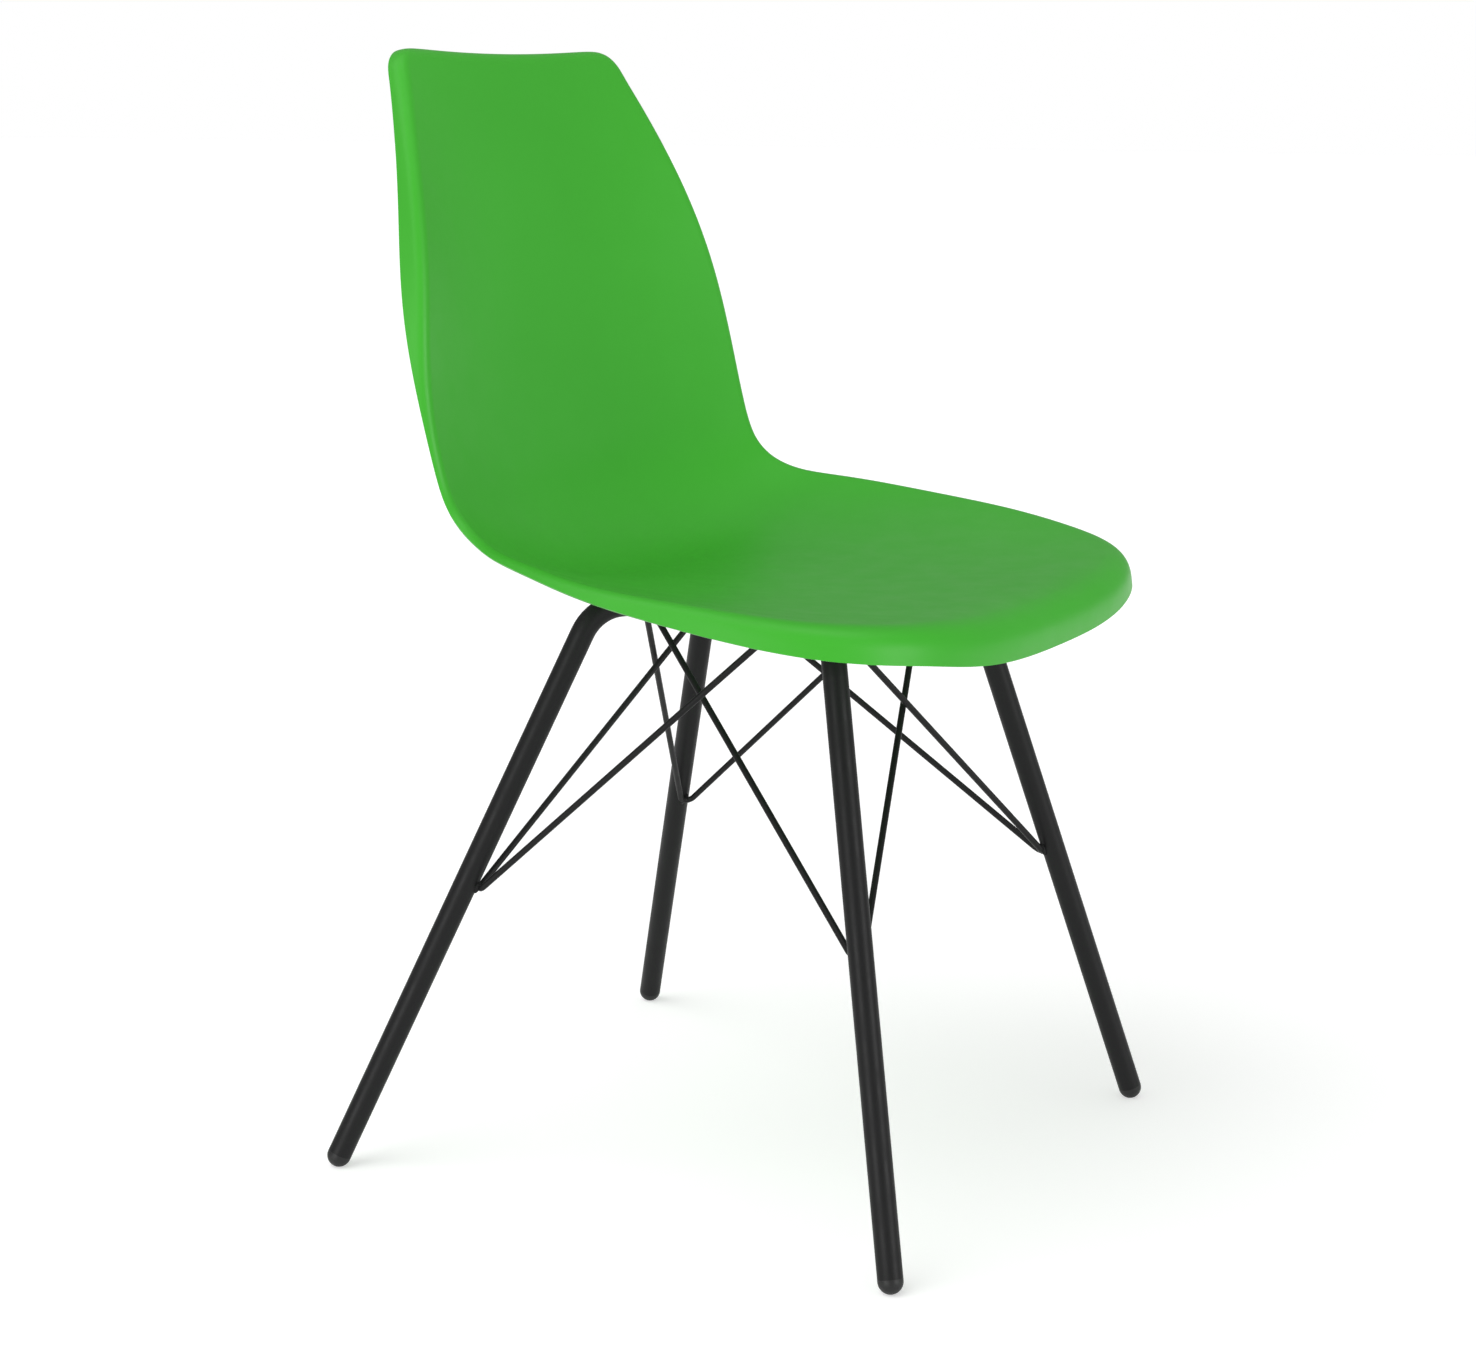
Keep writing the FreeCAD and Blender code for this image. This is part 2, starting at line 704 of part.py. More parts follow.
def arc_step(start, heading, bend, length):
    """Point and heading after a length of a curve of steady bend, in the YZ plane."""
    y, z = start
    if abs(bend) < 1e-9:
        return (y + length * math.cos(heading), z + length * math.sin(heading)), heading
    end = heading + bend * length
    return (y + (math.sin(end) - math.sin(heading)) / bend,
            z - (math.cos(end) - math.cos(heading)) / bend), end


def middle_line(place):
    """Point of the face's middle line and its heading; places grow from front to top."""
    low = (0.0, 0.0)
    if place >= 0:
        hip = size("hip_bend_radius")
        hip_length = hip * math.radians(90 - size("back_lean"))
        point, heading = arc_step(low, 0.0, 1 / hip, min(place, hip_length))
        if place > hip_length:
            rest = place - hip_length
            point, heading = arc_step(point, heading, -1 / size("back_curve_radius"), rest)
        y, z = point
    else:
        flat = size("seat_flat_length")
        run = min(-place, flat)
        point, heading = arc_step(low, 0.0, 1 / size("seat_curve_radius"), run)
        if -place > flat:
            rest = -place - flat
            point, heading = arc_step(point, heading, -1 / size("front_roll_radius"), rest)
        y, z = -point[0], point[1]
        heading = -heading
    low_height = (size("arm_height") + size("lug_rise") + size("pad_thickness")
                  + size("seat_rise"))
    return Vector(0, size("seat_low_reach") + y, low_height + z), heading


def upward(place):
    """Unit normal of the middle line, on the sitter's side."""
    _, heading = middle_line(place)
    return Vector(0, -math.sin(heading), math.cos(heading))


def face_rise(x, place):
    """Height of the face over its middle line."""
    share = abs(x) / CURVES["half_width"].at(place)
    return CURVES["rise"].at(place) * share ** size("dish_power")


def face_point(x, place):
    """Point of the seat's face."""
    point, _ = middle_line(place)
    return point + ALONG_X * x + upward(place) * face_rise(x, place)


def outline_course():
    """Fine polyline round the right half of the flattened face, from top to front."""
    half_width = CURVES["half_width"]
    top = size("back_length")
    corner = size("top_corner_radius")
    front = -size("seat_length")
    rounded = size("front_corner_length")
    power = 2 / size("front_squareness")
    straight = half_width.at(top - corner) - corner
    course = []
    for step in range(30):
        x = straight * step / 30
        course.append((x, top - size("top_dip") * (1 - (x / straight) ** 2)))
    for step in range(20):
        angle = math.radians(90 - 90 * step / 20)
        course.append((straight + corner * math.cos(angle), top - corner + corner * math.sin(angle)))
    side_length = top - corner - (front + rounded)
    for step in range(90):
        place = top - corner - side_length * step / 90
        course.append((half_width.at(place), place))
    for step in range(91):
        angle = math.radians(90 * step / 90)
        place = front + rounded - rounded * math.sin(angle) ** power
        course.append((half_width.at(place) * max(math.cos(angle), 0.0) ** power, place))
    return course


def spread_points(course, count):
    """Points along a polyline, closer together where it turns."""
    lengths = [math.dist(a, b) for a, b in zip(course, course[1:])]
    headings = [math.atan2(b[1] - a[1], b[0] - a[0]) for a, b in zip(course, course[1:])]
    closeness = 60.0
    reach = 5
    turns = [0.0]
    for before, after in zip(headings, headings[1:]):
        turns.append(abs(after - before))
    weights = []
    for index, length in enumerate(lengths):
        window = turns[max(0, index - reach):index + reach + 1]
        window_length = sum(lengths[max(0, index - reach):index + reach + 1])
        bend = min(sum(window) / window_length, 0.05)
        weights.append(length * (1 + closeness * bend))
    total = sum(weights)
    points = [course[0]]
    passed = 0.0
    index = 0
    for step in range(1, count - 1):
        wanted = total * step / (count - 1)
        while passed + weights[index] < wanted:
            passed += weights[index]
            index += 1
        share = (wanted - passed) / weights[index]
        a = course[index]
        b = course[index + 1]
        points.append((a[0] + (b[0] - a[0]) * share, a[1] + (b[1] - a[1]) * share))
    points.append(course[-1])
    return points


def outward_directions(outline):
    """Unit normals of the flattened outline, pointing away from the face."""
    count = len(outline)
    normals = []
    for index in range(count):
        if index == 0:
            normals.append((0.0, 1.0))
        elif index == count - 1:
            normals.append((0.0, -1.0))
        else:
            dx = outline[index + 1][0] - outline[index - 1][0]
            dl = outline[index + 1][1] - outline[index - 1][1]
            length = math.hypot(dx, dl)
            normals.append((-dl / length, dx / length))
    return normals


def edge_profile(x, place, outward):
    """Rolled edge at one outline point: (out, up, direction angle) from the edge of the face."""
    probe = 0.5
    nx, nl = outward
    ahead = face_rise(x + nx * probe, place + nl * probe)
    behind = face_rise(x - nx * probe, place - nl * probe)
    slope = math.atan2(ahead - behind, 2 * probe)
    radius = CURVES["roll_radius"].at(place)
    droop = math.radians(CURVES["roll_angle"].at(place))
    straight = max(CURVES["roll_length"].at(place), 0.5)
    rows = [(0.0, 0.0, slope)]
    for share in ROLL_SHARES:
        angle = slope - (slope + droop) * share
        out = radius * (math.sin(slope) - math.sin(angle))
        up = radius * (math.cos(angle) - math.cos(slope))
        rows.append((out, up, angle))
    out, up, angle = rows[-1]
    for share in STRAIGHT_SHARES:
        rows.append((out + straight * share * math.cos(droop),
                     up - straight * share * math.sin(droop), angle))
    return rows


def shell_columns():
    """For each outline point, the column of (point, direction across, up) from middle to rim.

    MARGIN_COUNT points past the middle line come first, so that the surface runs on smoothly there.
    """
    outline = spread_points(outline_course(), OUTLINE_COUNT)
    outward = outward_directions(outline)
    spine_top = size("back_length") - size("spine_top_inset")
    spine_front = -size("seat_length") + size("spine_front_inset")
    past_middle = tuple(-share for share in FACE_SHARES[MARGIN_COUNT:0:-1])
    step = 0.01
    columns = []
    for index, ((x, place), normal) in enumerate(zip(outline, outward)):
        spine = spine_top + (spine_front - spine_top) * index / (OUTLINE_COUNT - 1)
        column = []
        for share in past_middle + FACE_SHARES:
            here = spine * (1 - share) + place * share
            point = face_point(x * share, here)
            ahead = face_point(x * (share + step), here + (place - spine) * step)
            column.append((point, unit(ahead - point), upward(here)))
        edge = face_point(x, place)
        up_direction = upward(place)
        forward = ALONG_X.cross(up_direction) * -1
        out_direction = ALONG_X * normal[0] + forward * normal[1]
        for out, up, angle in edge_profile(x, place, normal):
            point = edge + out_direction * out + up_direction * up
            across = out_direction * math.cos(angle) + up_direction * math.sin(angle)
            column.append((point, across, None))
        columns.append(column)
    return columns


def shell_line(column, before, after):
    """One column's points on the face and on the underside, each from the middle to the rim."""
    thickness = size("shell_thickness")
    upper = []
    lower = []
    for row, (point, across, up) in enumerate(column):
        if row == MARGIN_COUNT:
            normal = up
        else:
            along = after[row] - before[row]
            normal = unit(along.cross(across))
            if up and normal.dot(up) < 0:
                normal = normal * -1
        upper.append(point)
        lower.append(point - normal * thickness)
    for line in (upper, lower):
        line.append(line[-1] * 2 - line[-2])
    return upper, lower


def shell_grids():
    """Points over the right half of the face and the underside, with MARGIN_COUNT more all round."""
    columns = shell_columns()
    points = [[point for point, _, _ in column] for column in columns]
    before_first = [mirrored(point) for point in points[1]]
    after_last = [mirrored(point) for point in points[-2]]
    bounds = [before_first] + points + [after_last]
    lines = []
    for index, column in enumerate(columns):
        lines.append(shell_line(column, bounds[index], bounds[index + 2]))
    grids = []
    for grid in zip(*lines):
        first = [mirrored(point) for point in grid[MARGIN_COUNT]]
        last = [mirrored(point) for point in grid[-1 - MARGIN_COUNT]]
        grids.append([first] + list(grid) + [last])
    return grids


def half_surface(grid):
    """Smooth surface steered by a grid of points, up to the middle plane on its three sides.

    An even cubic spline ends on the plane because the margin points mirror those inside it.
    """
    columns = len(grid)
    rows = len(grid[0])
    u_knots = list(range(columns + SPLINE_DEGREE + 1))
    v_knots = list(range(rows + SPLINE_DEGREE + 1))
    surface = Part.BSplineSurface()
    surface.buildFromPolesMultsKnots(grid, [1] * len(u_knots), [1] * len(v_knots),
                                     u_knots, v_knots, False, False, SPLINE_DEGREE, SPLINE_DEGREE)
    surface.segment(SPLINE_DEGREE, columns, SPLINE_DEGREE, rows)
    last_u = surface.NbUPoles
    last_v = surface.NbVPoles
    on_middle = [(u, v) for u in (1, last_u) for v in range(1, last_v + 1)]
    on_middle += [(u, 1) for u in range(2, last_u)]
    for u, v in on_middle:
        pole = surface.getPole(u, v)
        surface.setPole(u, v, Vector(0, pole.y, pole.z))
    return surface


def half_faces():
    """Patches of the right half: face, underside and their rolled edges, and the rim."""
    face_end = len(FACE_SHARES)
    edge_end = face_end + len(ROLL_SHARES) + len(STRAIGHT_SHARES)
    v_cuts = (0, face_end, edge_end)
    last = OUTLINE_COUNT - 1
    u_cuts = [round(last * part / PATCH_COUNT) for part in range(PATCH_COUNT + 1)]
    upper, lower = [half_surface(grid) for grid in shell_grids()]
    faces = []
    for u_start, u_end in zip(u_cuts, u_cuts[1:]):
        u_range = (SPLINE_DEGREE + u_start, SPLINE_DEGREE + u_end)
        for surface in (upper, lower):
            for v_start, v_end in zip(v_cuts, v_cuts[1:]):
                patch = surface.copy()
                patch.segment(*u_range, SPLINE_DEGREE + v_start, SPLINE_DEGREE + v_end)
                faces.append(patch.toShape())
        rims = [surface.vIso(SPLINE_DEGREE + edge_end) for surface in (upper, lower)]
        for rim in rims:
            rim.segment(*u_range)
        faces.append(Part.makeRuledSurface(*[rim.toShape() for rim in rims]))
    return faces


def shell_wall():
    """Both halves of the moulded wall as one solid."""
    half = half_faces()
    other = Part.Compound(half).copy().mirror(Vector(0, 0, 0), ALONG_X)
    skin = Part.Compound(half + other.Faces)
    skin.sewShape()
    wall = Part.Solid(skin.Shells[0])
    if wall.Volume < 0:
        wall.reverse()
    return wall


def make_shell():
    """The wall with its four bosses and the blind holes for the inserts."""
    wall = add_shape("shell_wall", shell_wall())
    pieces = [wall]
    holes = []
    for end in ("front", "rear"):
        for word, side in LEFT_AND_RIGHT:
            base = screw_point(end, side) + UP * size("pad_thickness")
            place = base.y - size("seat_low_reach")
            top = face_point(abs(base.x), place).z - size("boss_root")
            boss = doc.addObject("Part::Cylinder", "boss_%s_%s" % (end, word))
            boss.setExpression("Radius", "sizes.boss_diameter / 2")
            boss.Height = top - base.z
            boss.Placement = Placement(base, Rotation())
            pieces.append(boss)
            holes.append(add_cylinder("boss_hole_%s_%s" % (end, word),
                                      "sizes.insert_diameter / 2", "sizes.insert_length",
                                      Placement(base, Rotation())))
    moulding = add_fuse("shell_moulding", pieces)
    shell = add_cut("shell", moulding, add_group("boss_holes", holes))
    shell.Label = "shell"
    return shell


def check_and_write(parts):
    """Stop at any failed object or bad shape, then write one STEP file for each sub-part."""
    doc.recompute()
    for item in doc.Objects:
        if "Invalid" in item.State or "Error" in item.State:
            raise RuntimeError("failed object: %s %s" % (item.Name, item.State))
    os.makedirs("parts", exist_ok=True)
    for part in parts:
        shape = part.Shape
        if shape.isNull() or not shape.isValid() or not shape.Solids:
            raise RuntimeError("bad shape: " + part.Label)
    for part in parts:
        part.Shape.exportStep("parts/%s.step" % part.Label)


def main():
    """Build every sub-part, check them all and write them."""
    parts = [make_shell()]
    parts += make_hoops()
    parts.append(make_centre_tie())
    parts += make_braces()
    parts += make_feet()
    parts += make_lugs()
    parts += make_pads()
    parts.append(make_inserts())
    parts.append(make_screws())
    parts.append(make_spring_washers())
    parts.append(make_flat_washers())
    check_and_write(parts)


main()
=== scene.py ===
"""Moulded plastic shell chair on a tube frame: looks, light and camera round its solids.

The floor is at z 0, the sitter faces -Y and the sitter's left is +X. Sizes are in millimetres, as
a maker would write them, and a mesh is turned into metres when it is finished.
"""
import logging
import math
from dataclasses import dataclass
from enum import Enum
from typing import Iterable, Sequence

import bmesh
import bpy
import numpy as np
from mathutils import Matrix, Vector

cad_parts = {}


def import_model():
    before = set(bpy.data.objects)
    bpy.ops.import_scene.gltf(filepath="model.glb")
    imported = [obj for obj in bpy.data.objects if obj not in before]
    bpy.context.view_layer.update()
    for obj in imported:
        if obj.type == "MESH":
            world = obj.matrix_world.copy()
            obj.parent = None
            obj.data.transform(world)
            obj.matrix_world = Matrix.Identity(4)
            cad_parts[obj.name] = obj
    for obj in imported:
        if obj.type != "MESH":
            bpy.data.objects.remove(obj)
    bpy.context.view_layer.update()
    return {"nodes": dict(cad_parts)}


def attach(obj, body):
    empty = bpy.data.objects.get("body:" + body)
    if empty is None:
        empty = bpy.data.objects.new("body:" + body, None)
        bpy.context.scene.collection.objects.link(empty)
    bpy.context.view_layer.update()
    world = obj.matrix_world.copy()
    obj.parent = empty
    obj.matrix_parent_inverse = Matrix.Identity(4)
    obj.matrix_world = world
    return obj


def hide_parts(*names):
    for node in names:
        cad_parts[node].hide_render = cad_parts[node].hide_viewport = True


LOG = logging.getLogger("shell_chair")
MM = 0.001
UP = Vector((0, 0, 1))
BODY = "root"
QUARTER_TURN = 90
WHITE = (1.0, 1.0, 1.0, 1.0)
# Several sockets of the mix node share one name, so these are their numbers.
MIX_FACTOR, MIX_FIRST, MIX_SECOND, MIX_RESULT = 0, 6, 7, 2
Color = tuple[float, float, float]


class Slot(Enum):
    """Material slots of the record."""

    SHELL = "shell_plastic"
    FRAME = "frame_steel"
    FOOT = "foot_plastic"
    PAD = "pad_rubber"
    INSERT = "insert_brass"
    FASTENER = "fastener_steel"


class End(Enum):
    """The two ends of the chair: the way that each lies along Y."""

    FRONT = -1
    REAR = 1

    @property
    def row(self) -> int:
        """Row of this end in a (front, rear) pair."""
        return int(self is End.REAR)


class Side(Enum):
    """The sitter's left and right: the way that each lies along X."""

    LEFT = 1
    RIGHT = -1


CORNERS = tuple((end, side) for end in End for side in Side)


def corner_name(end: End, side: Side, what: str) -> str:
    """Name of the CAD node of one kind at one corner of the chair.

    Args:
        end: Front or rear.
        side: The sitter's left or right.
        what: Kind of piece, such as foot.

    Returns:
        The node's name.
    """
    return f"{end.name}_{side.name}_{what}".lower()


@dataclass(frozen=True)
class Grain:
    """One noise: its cells in a metre, its octaves and the weight of the finer ones."""

    per_metre: float
    detail: float
    roughness: float = 0.5


@dataclass(frozen=True)
class Relief:
    """One bump: its weight, and its depth in millimetres."""

    strength: float
    depth: float


class NodeDesk:
    """A new material's node tree, with short calls for its nodes."""

    def __init__(self, name: str) -> None:
        """Start an empty material.

        Args:
            name: The material's name.
        """
        self.material = bpy.data.materials.new(name)
        self.material.use_nodes = True
        self.tree = self.material.node_tree
        self.tree.nodes.clear()
        self.coordinates = self.add("ShaderNodeTexCoord").outputs["Object"]

    def add(self, kind: str, settings: dict | None = None, **sockets: object) -> bpy.types.Node:
        """Add a node.

        Args:
            kind: Blender's type name of the node.
            settings: Properties of the node itself.
            **sockets: Input values or links, by socket name with _ for a space.

        Returns:
            The node.
        """
        node = self.tree.nodes.new(kind)
        for key, value in (settings or {}).items():
            setattr(node, key, value)
        for key, value in sockets.items():
            self.feed(node.inputs[key.replace("_", " ")], value)
        return node

    def feed(self, socket: bpy.types.NodeSocket, value: object) -> None:
        """Link an output to a socket, or set the socket's value.

        Args:
            socket: The input.
            value: An output socket, or a plain value.
        """
        if isinstance(value, bpy.types.NodeSocket):
            self.tree.links.new(value, socket)
        else:
            socket.default_value = value

    def noise(self, grain: Grain) -> bpy.types.NodeSocket:
        """Noise over the piece.

        Args:
            grain: The noise.

        Returns:
            The factor output.
        """
        node = self.add("ShaderNodeTexNoise", Vector=self.coordinates, Scale=grain.per_metre,
                        Detail=grain.detail, Roughness=grain.roughness)
        return node.outputs["Fac"]

    def rings(self, per_metre: float, distortion: float) -> bpy.types.NodeSocket:
        """Waves stacked along Z.

        Args:
            per_metre: Scale of the waves.
            distortion: How far they stray.

        Returns:
            The factor output.
        """
        node = self.add("ShaderNodeTexWave", {"bands_direction": "Z"}, Vector=self.coordinates,
                        Scale=per_metre, Distortion=distortion, Detail=1.0)
        return node.outputs["Fac"]

    def calculate(self, operation: str, first: object, second: object) -> bpy.types.NodeSocket:
        """Reckon with two values.

        Args:
            operation: Blender's name of the operation.
            first: A link or a value.
            second: A link or a value.

        Returns:
            The result.
        """
        node = self.add("ShaderNodeMath", {"operation": operation})
        self.feed(node.inputs[0], first)
        self.feed(node.inputs[1], second)
        return node.outputs["Value"]

    def spread(self, source: bpy.types.NodeSocket, low: float, high: float,
               start: float = 0.3, stop: float = 0.7) -> bpy.types.NodeSocket:
        """Stretch a factor over a range.

        Args:
            source: The factor.
            low: Result at start.
            high: Result at stop.
            start: Lower end of the factor.
            stop: Upper end of the factor.

        Returns:
            The stretched value.
        """
        node = self.add("ShaderNodeMapRange", Value=source, From_Min=start, From_Max=stop,
                        To_Min=low, To_Max=high)
        return node.outputs["Result"]

    def blend(self, factor: bpy.types.NodeSocket, first: Color,
              second: Color) -> bpy.types.NodeSocket:
        """Mix two colours.

        Args:
            factor: 0 for the first, 1 for the second.
            first: Linear colour.
            second: Linear colour.

        Returns:
            The mixed colour.
        """
        node = self.add("ShaderNodeMix", {"data_type": "RGBA"})
        self.feed(node.inputs[MIX_FACTOR], factor)
        self.feed(node.inputs[MIX_FIRST], (*first, 1.0))
        self.feed(node.inputs[MIX_SECOND], (*second, 1.0))
        return node.outputs[MIX_RESULT]

    def bump(self, height: bpy.types.NodeSocket, relief: Relief,
             under: bpy.types.NodeSocket | None = None) -> bpy.types.NodeSocket:
        """Bump from a height.

        Args:
            height: The height, 0 to 1.
            relief: Weight of the bump, and depth of a height of 1.
            under: Normal of a coarser bump below it.

        Returns:
            The normal.
        """
        node = self.add("ShaderNodeBump", Height=height, Strength=relief.strength,
                        Distance=relief.depth * MM)
        if under:
            self.feed(node.inputs["Normal"], under)
        return node.outputs["Normal"]

    def finish(self, **sockets: object) -> bpy.types.Material:
        """Close the tree with a principled shader.

        Args:
            **sockets: Inputs of the shader, by name with _ for a space.

        Returns:
            The material.
        """
        shader = self.add("ShaderNodeBsdfPrincipled", **sockets)
        output = self.add("ShaderNodeOutputMaterial")
        self.tree.links.new(shader.outputs["BSDF"], output.inputs["Surface"])
        return self.material


@dataclass(frozen=True)
class MouldedPlastic:
    """Dyed polypropylene with the fine grain of its mould."""

    name: str = "moulded_green_plastic"
    color: Color = (0.041, 0.366, 0.021)
    streak: Color = (0.046, 0.386, 0.025)
    gloss: tuple[float, float] = (0.38, 0.45)
    shine: float = 0.24
    flow: Grain = Grain(5.0, 3.0)
    clouds: Grain = Grain(38.0, 4.0)
    skin: Grain = Grain(1500.0, 2.0, 0.6)
    relief: Relief = Relief(0.16, 0.06)

    def material(self) -> bpy.types.Material:
        """The node material."""
        desk = NodeDesk(self.name)
        flow = desk.spread(desk.noise(self.flow), 0.0, 1.0)
        return desk.finish(
            Base_Color=desk.blend(flow, self.color, self.streak),
            Roughness=desk.spread(desk.noise(self.clouds), *self.gloss),
            Normal=desk.bump(desk.noise(self.skin), self.relief), Specular_IOR_Level=self.shine)


@dataclass(frozen=True)
class PowderCoat:
    """Charcoal powder coat with a fine orange peel, over a weld's ripples if there are any."""

    name: str = "charcoal_powder_coat"
    color: Color = (0.008, 0.008, 0.0083)
    speck: Color = (0.012, 0.012, 0.0125)
    gloss: tuple[float, float] = (0.40, 0.52)
    shine: float = 0.17
    clouds: Grain = Grain(60.0, 3.0)
    specks: Grain = Grain(2600.0, 1.0)
    speck_range: tuple[float, float] = (0.45, 0.7)
    peel: Grain = Grain(900.0, 2.0, 0.4)
    relief: Relief = Relief(0.22, 0.10)
    ripple: Relief | None = None
    ripples_per_metre: float = 190.0
    ripple_distortion: float = 3.0

    def material(self) -> bpy.types.Material:
        """The node material."""
        desk = NodeDesk(self.name)
        normal = desk.bump(desk.noise(self.peel), self.relief)
        if self.ripple:
            waves = desk.rings(self.ripples_per_metre, self.ripple_distortion)
            normal = desk.bump(waves, self.ripple, normal)
        specks = desk.spread(desk.noise(self.specks), 0.0, 1.0, *self.speck_range)
        return desk.finish(
            Base_Color=desk.blend(specks, self.color, self.speck),
            Roughness=desk.spread(desk.noise(self.clouds), *self.gloss),
            Normal=normal, Specular_IOR_Level=self.shine)


@dataclass(frozen=True)
class FootNylon:
    """Black nylon, rubbed grey where it stands on the floor."""

    name: str = "black_foot_nylon"
    color: Color = (0.0045, 0.0045, 0.0048)
    rubbed: Color = (0.045, 0.044, 0.042)
    rubbed_height: float = 1.6
    gloss: tuple[float, float] = (0.42, 0.58)
    shine: float = 0.4
    scuffs: Grain = Grain(700.0, 3.0)
    clouds: Grain = Grain(220.0, 3.0)
    skin: Grain = Grain(1700.0, 2.0)
    relief: Relief = Relief(0.2, 0.05)

    def material(self) -> bpy.types.Material:
        """The node material."""
        desk = NodeDesk(self.name)
        height = desk.add("ShaderNodeSeparateXYZ", Vector=desk.coordinates).outputs["Z"]
        rub = desk.spread(height, 1.0, 0.0, 0.0, self.rubbed_height * MM)
        scuff = desk.calculate("MULTIPLY", rub, desk.noise(self.scuffs))
        return desk.finish(
            Base_Color=desk.blend(scuff, self.color, self.rubbed),
            Roughness=desk.spread(desk.noise(self.clouds), *self.gloss),
            Normal=desk.bump(desk.noise(self.skin), self.relief), Specular_IOR_Level=self.shine)


@dataclass(frozen=True)
class PadRubber:
    """Matt black rubber with a little dust."""

    name: str = "pad_rubber"
    color: Color = (0.011, 0.011, 0.011)
    dust: Color = (0.034, 0.033, 0.031)
    gloss: tuple[float, float] = (0.72, 0.9)
    shine: float = 0.3
    dusting: Grain = Grain(240.0, 4.0)
    dust_range: tuple[float, float] = (0.48, 0.8)
    clouds: Grain = Grain(500.0, 2.0)
    skin: Grain = Grain(1300.0, 2.0)
    relief: Relief = Relief(0.25, 0.08)

    def material(self) -> bpy.types.Material:
        """The node material."""
        desk = NodeDesk(self.name)
        dusty = desk.spread(desk.noise(self.dusting), 0.0, 1.0, *self.dust_range)
        return desk.finish(
            Base_Color=desk.blend(dusty, self.color, self.dust),
            Roughness=desk.spread(desk.noise(self.clouds), *self.gloss),
            Normal=desk.bump(desk.noise(self.skin), self.relief), Specular_IOR_Level=self.shine)


@dataclass(frozen=True)
class TurnedMetal:
    """Bare metal with turning rings, clouded by its plating."""

    name: str
    color: Color
    cloud: Color
    gloss: tuple[float, float]
    rings_per_metre: float
    ring_distortion: float = 0.6
    clouds: Grain = Grain(320.0, 3.0)
    smudges: Grain = Grain(900.0, 2.0)
    relief: Relief = Relief(0.12, 0.05)

    def material(self) -> bpy.types.Material:
        """The node material."""
        desk = NodeDesk(self.name)
        rings = desk.rings(self.rings_per_metre, self.ring_distortion)
        clouds = desk.spread(desk.noise(self.clouds), 0.0, 1.0)
        return desk.finish(
            Base_Color=desk.blend(clouds, self.color, self.cloud),
            Roughness=desk.spread(desk.noise(self.smudges), *self.gloss), Metallic=1.0,
            Normal=desk.bump(rings, self.relief))


@dataclass(frozen=True)
class PaleGround:
    """White studio floor that keeps the chair's shadow."""

    name: str = "pale_floor"
    shade: float = 0.92
    glow: float = 0.27

    def material(self) -> bpy.types.Material:
        """The node material."""
        desk = NodeDesk(self.name)
        lit = desk.add("ShaderNodeBsdfDiffuse", Color=(self.shade,) * 3 + (1.0,))
        path = desk.add("ShaderNodeLightPath").outputs
        seen = desk.calculate("MAXIMUM", path["Is Camera Ray"], path["Is Glossy Ray"])
        glow = desk.calculate("MULTIPLY", seen, self.glow)
        emission = desk.add("ShaderNodeEmission", Strength=glow)
        both = desk.add("ShaderNodeAddShader")
        desk.feed(both.inputs[0], lit.outputs["BSDF"])
        desk.feed(both.inputs[1], emission.outputs["Emission"])
        output = desk.add("ShaderNodeOutputMaterial")
        desk.tree.links.new(both.outputs["Shader"], output.inputs["Surface"])
        return desk.material


class Finishes:
    """The materials of the chair, one for each slot, made once."""

    def __init__(self) -> None:
        """Make the materials."""
        self.by_slot = {
            Slot.SHELL: MouldedPlastic().material(),
            Slot.FRAME: PowderCoat().material(),
            Slot.FOOT: FootNylon().material(),
            Slot.PAD: PadRubber().material(),
            Slot.INSERT: TurnedMetal("insert_brass", (0.66, 0.45, 0.17), (0.54, 0.36, 0.14),
                                     (0.24, 0.38), 1900.0).material(),
            Slot.FASTENER: TurnedMetal("zinc_plated_steel", (0.60, 0.61, 0.63), (0.46, 0.47, 0.50),
                                       (0.26, 0.42), 1400.0).material(),
        }
        self.weld = PowderCoat("charcoal_powder_coat_on_weld", ripple=Relief(0.5, 0.5)).material()

    def dress(self, node: bpy.types.Object, slot: Slot) -> None:
        """Give a carried-over CAD node its material.

        Args:
            node: The node's object.
            slot: The slot whose material it takes.
        """
        node.data.materials.clear()
        node.data.materials.append(self.by_slot[slot])
        LOG.info("dressed %s in %s", node.name, slot.value)


def add_piece(name: str, mesh: bmesh.types.BMesh, material: bpy.types.Material,
              replaced: Iterable[str] = ()) -> bpy.types.Object:
    """Turn a bmesh in millimetres into a finished piece of the chair.

    Args:
        name: Name of the piece.
        mesh: The bmesh, which is freed.
        material: Its material.
        replaced: CAD nodes that it stands for.

    Returns:
        The object.
    """
    bmesh.ops.scale(mesh, vec=(MM, MM, MM), verts=mesh.verts)
    data = bpy.data.meshes.new(name)
    for face in mesh.faces:
        face.smooth = True
    mesh.to_mesh(data)
    mesh.free()
    data.materials.append(material)
    piece = bpy.data.objects.new(name, data)
    bpy.context.scene.collection.objects.link(piece)
    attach(piece, BODY)
    nodes = list(replaced)
    if nodes:
        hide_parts(*nodes)
    LOG.info("made %s", name)
    return piece


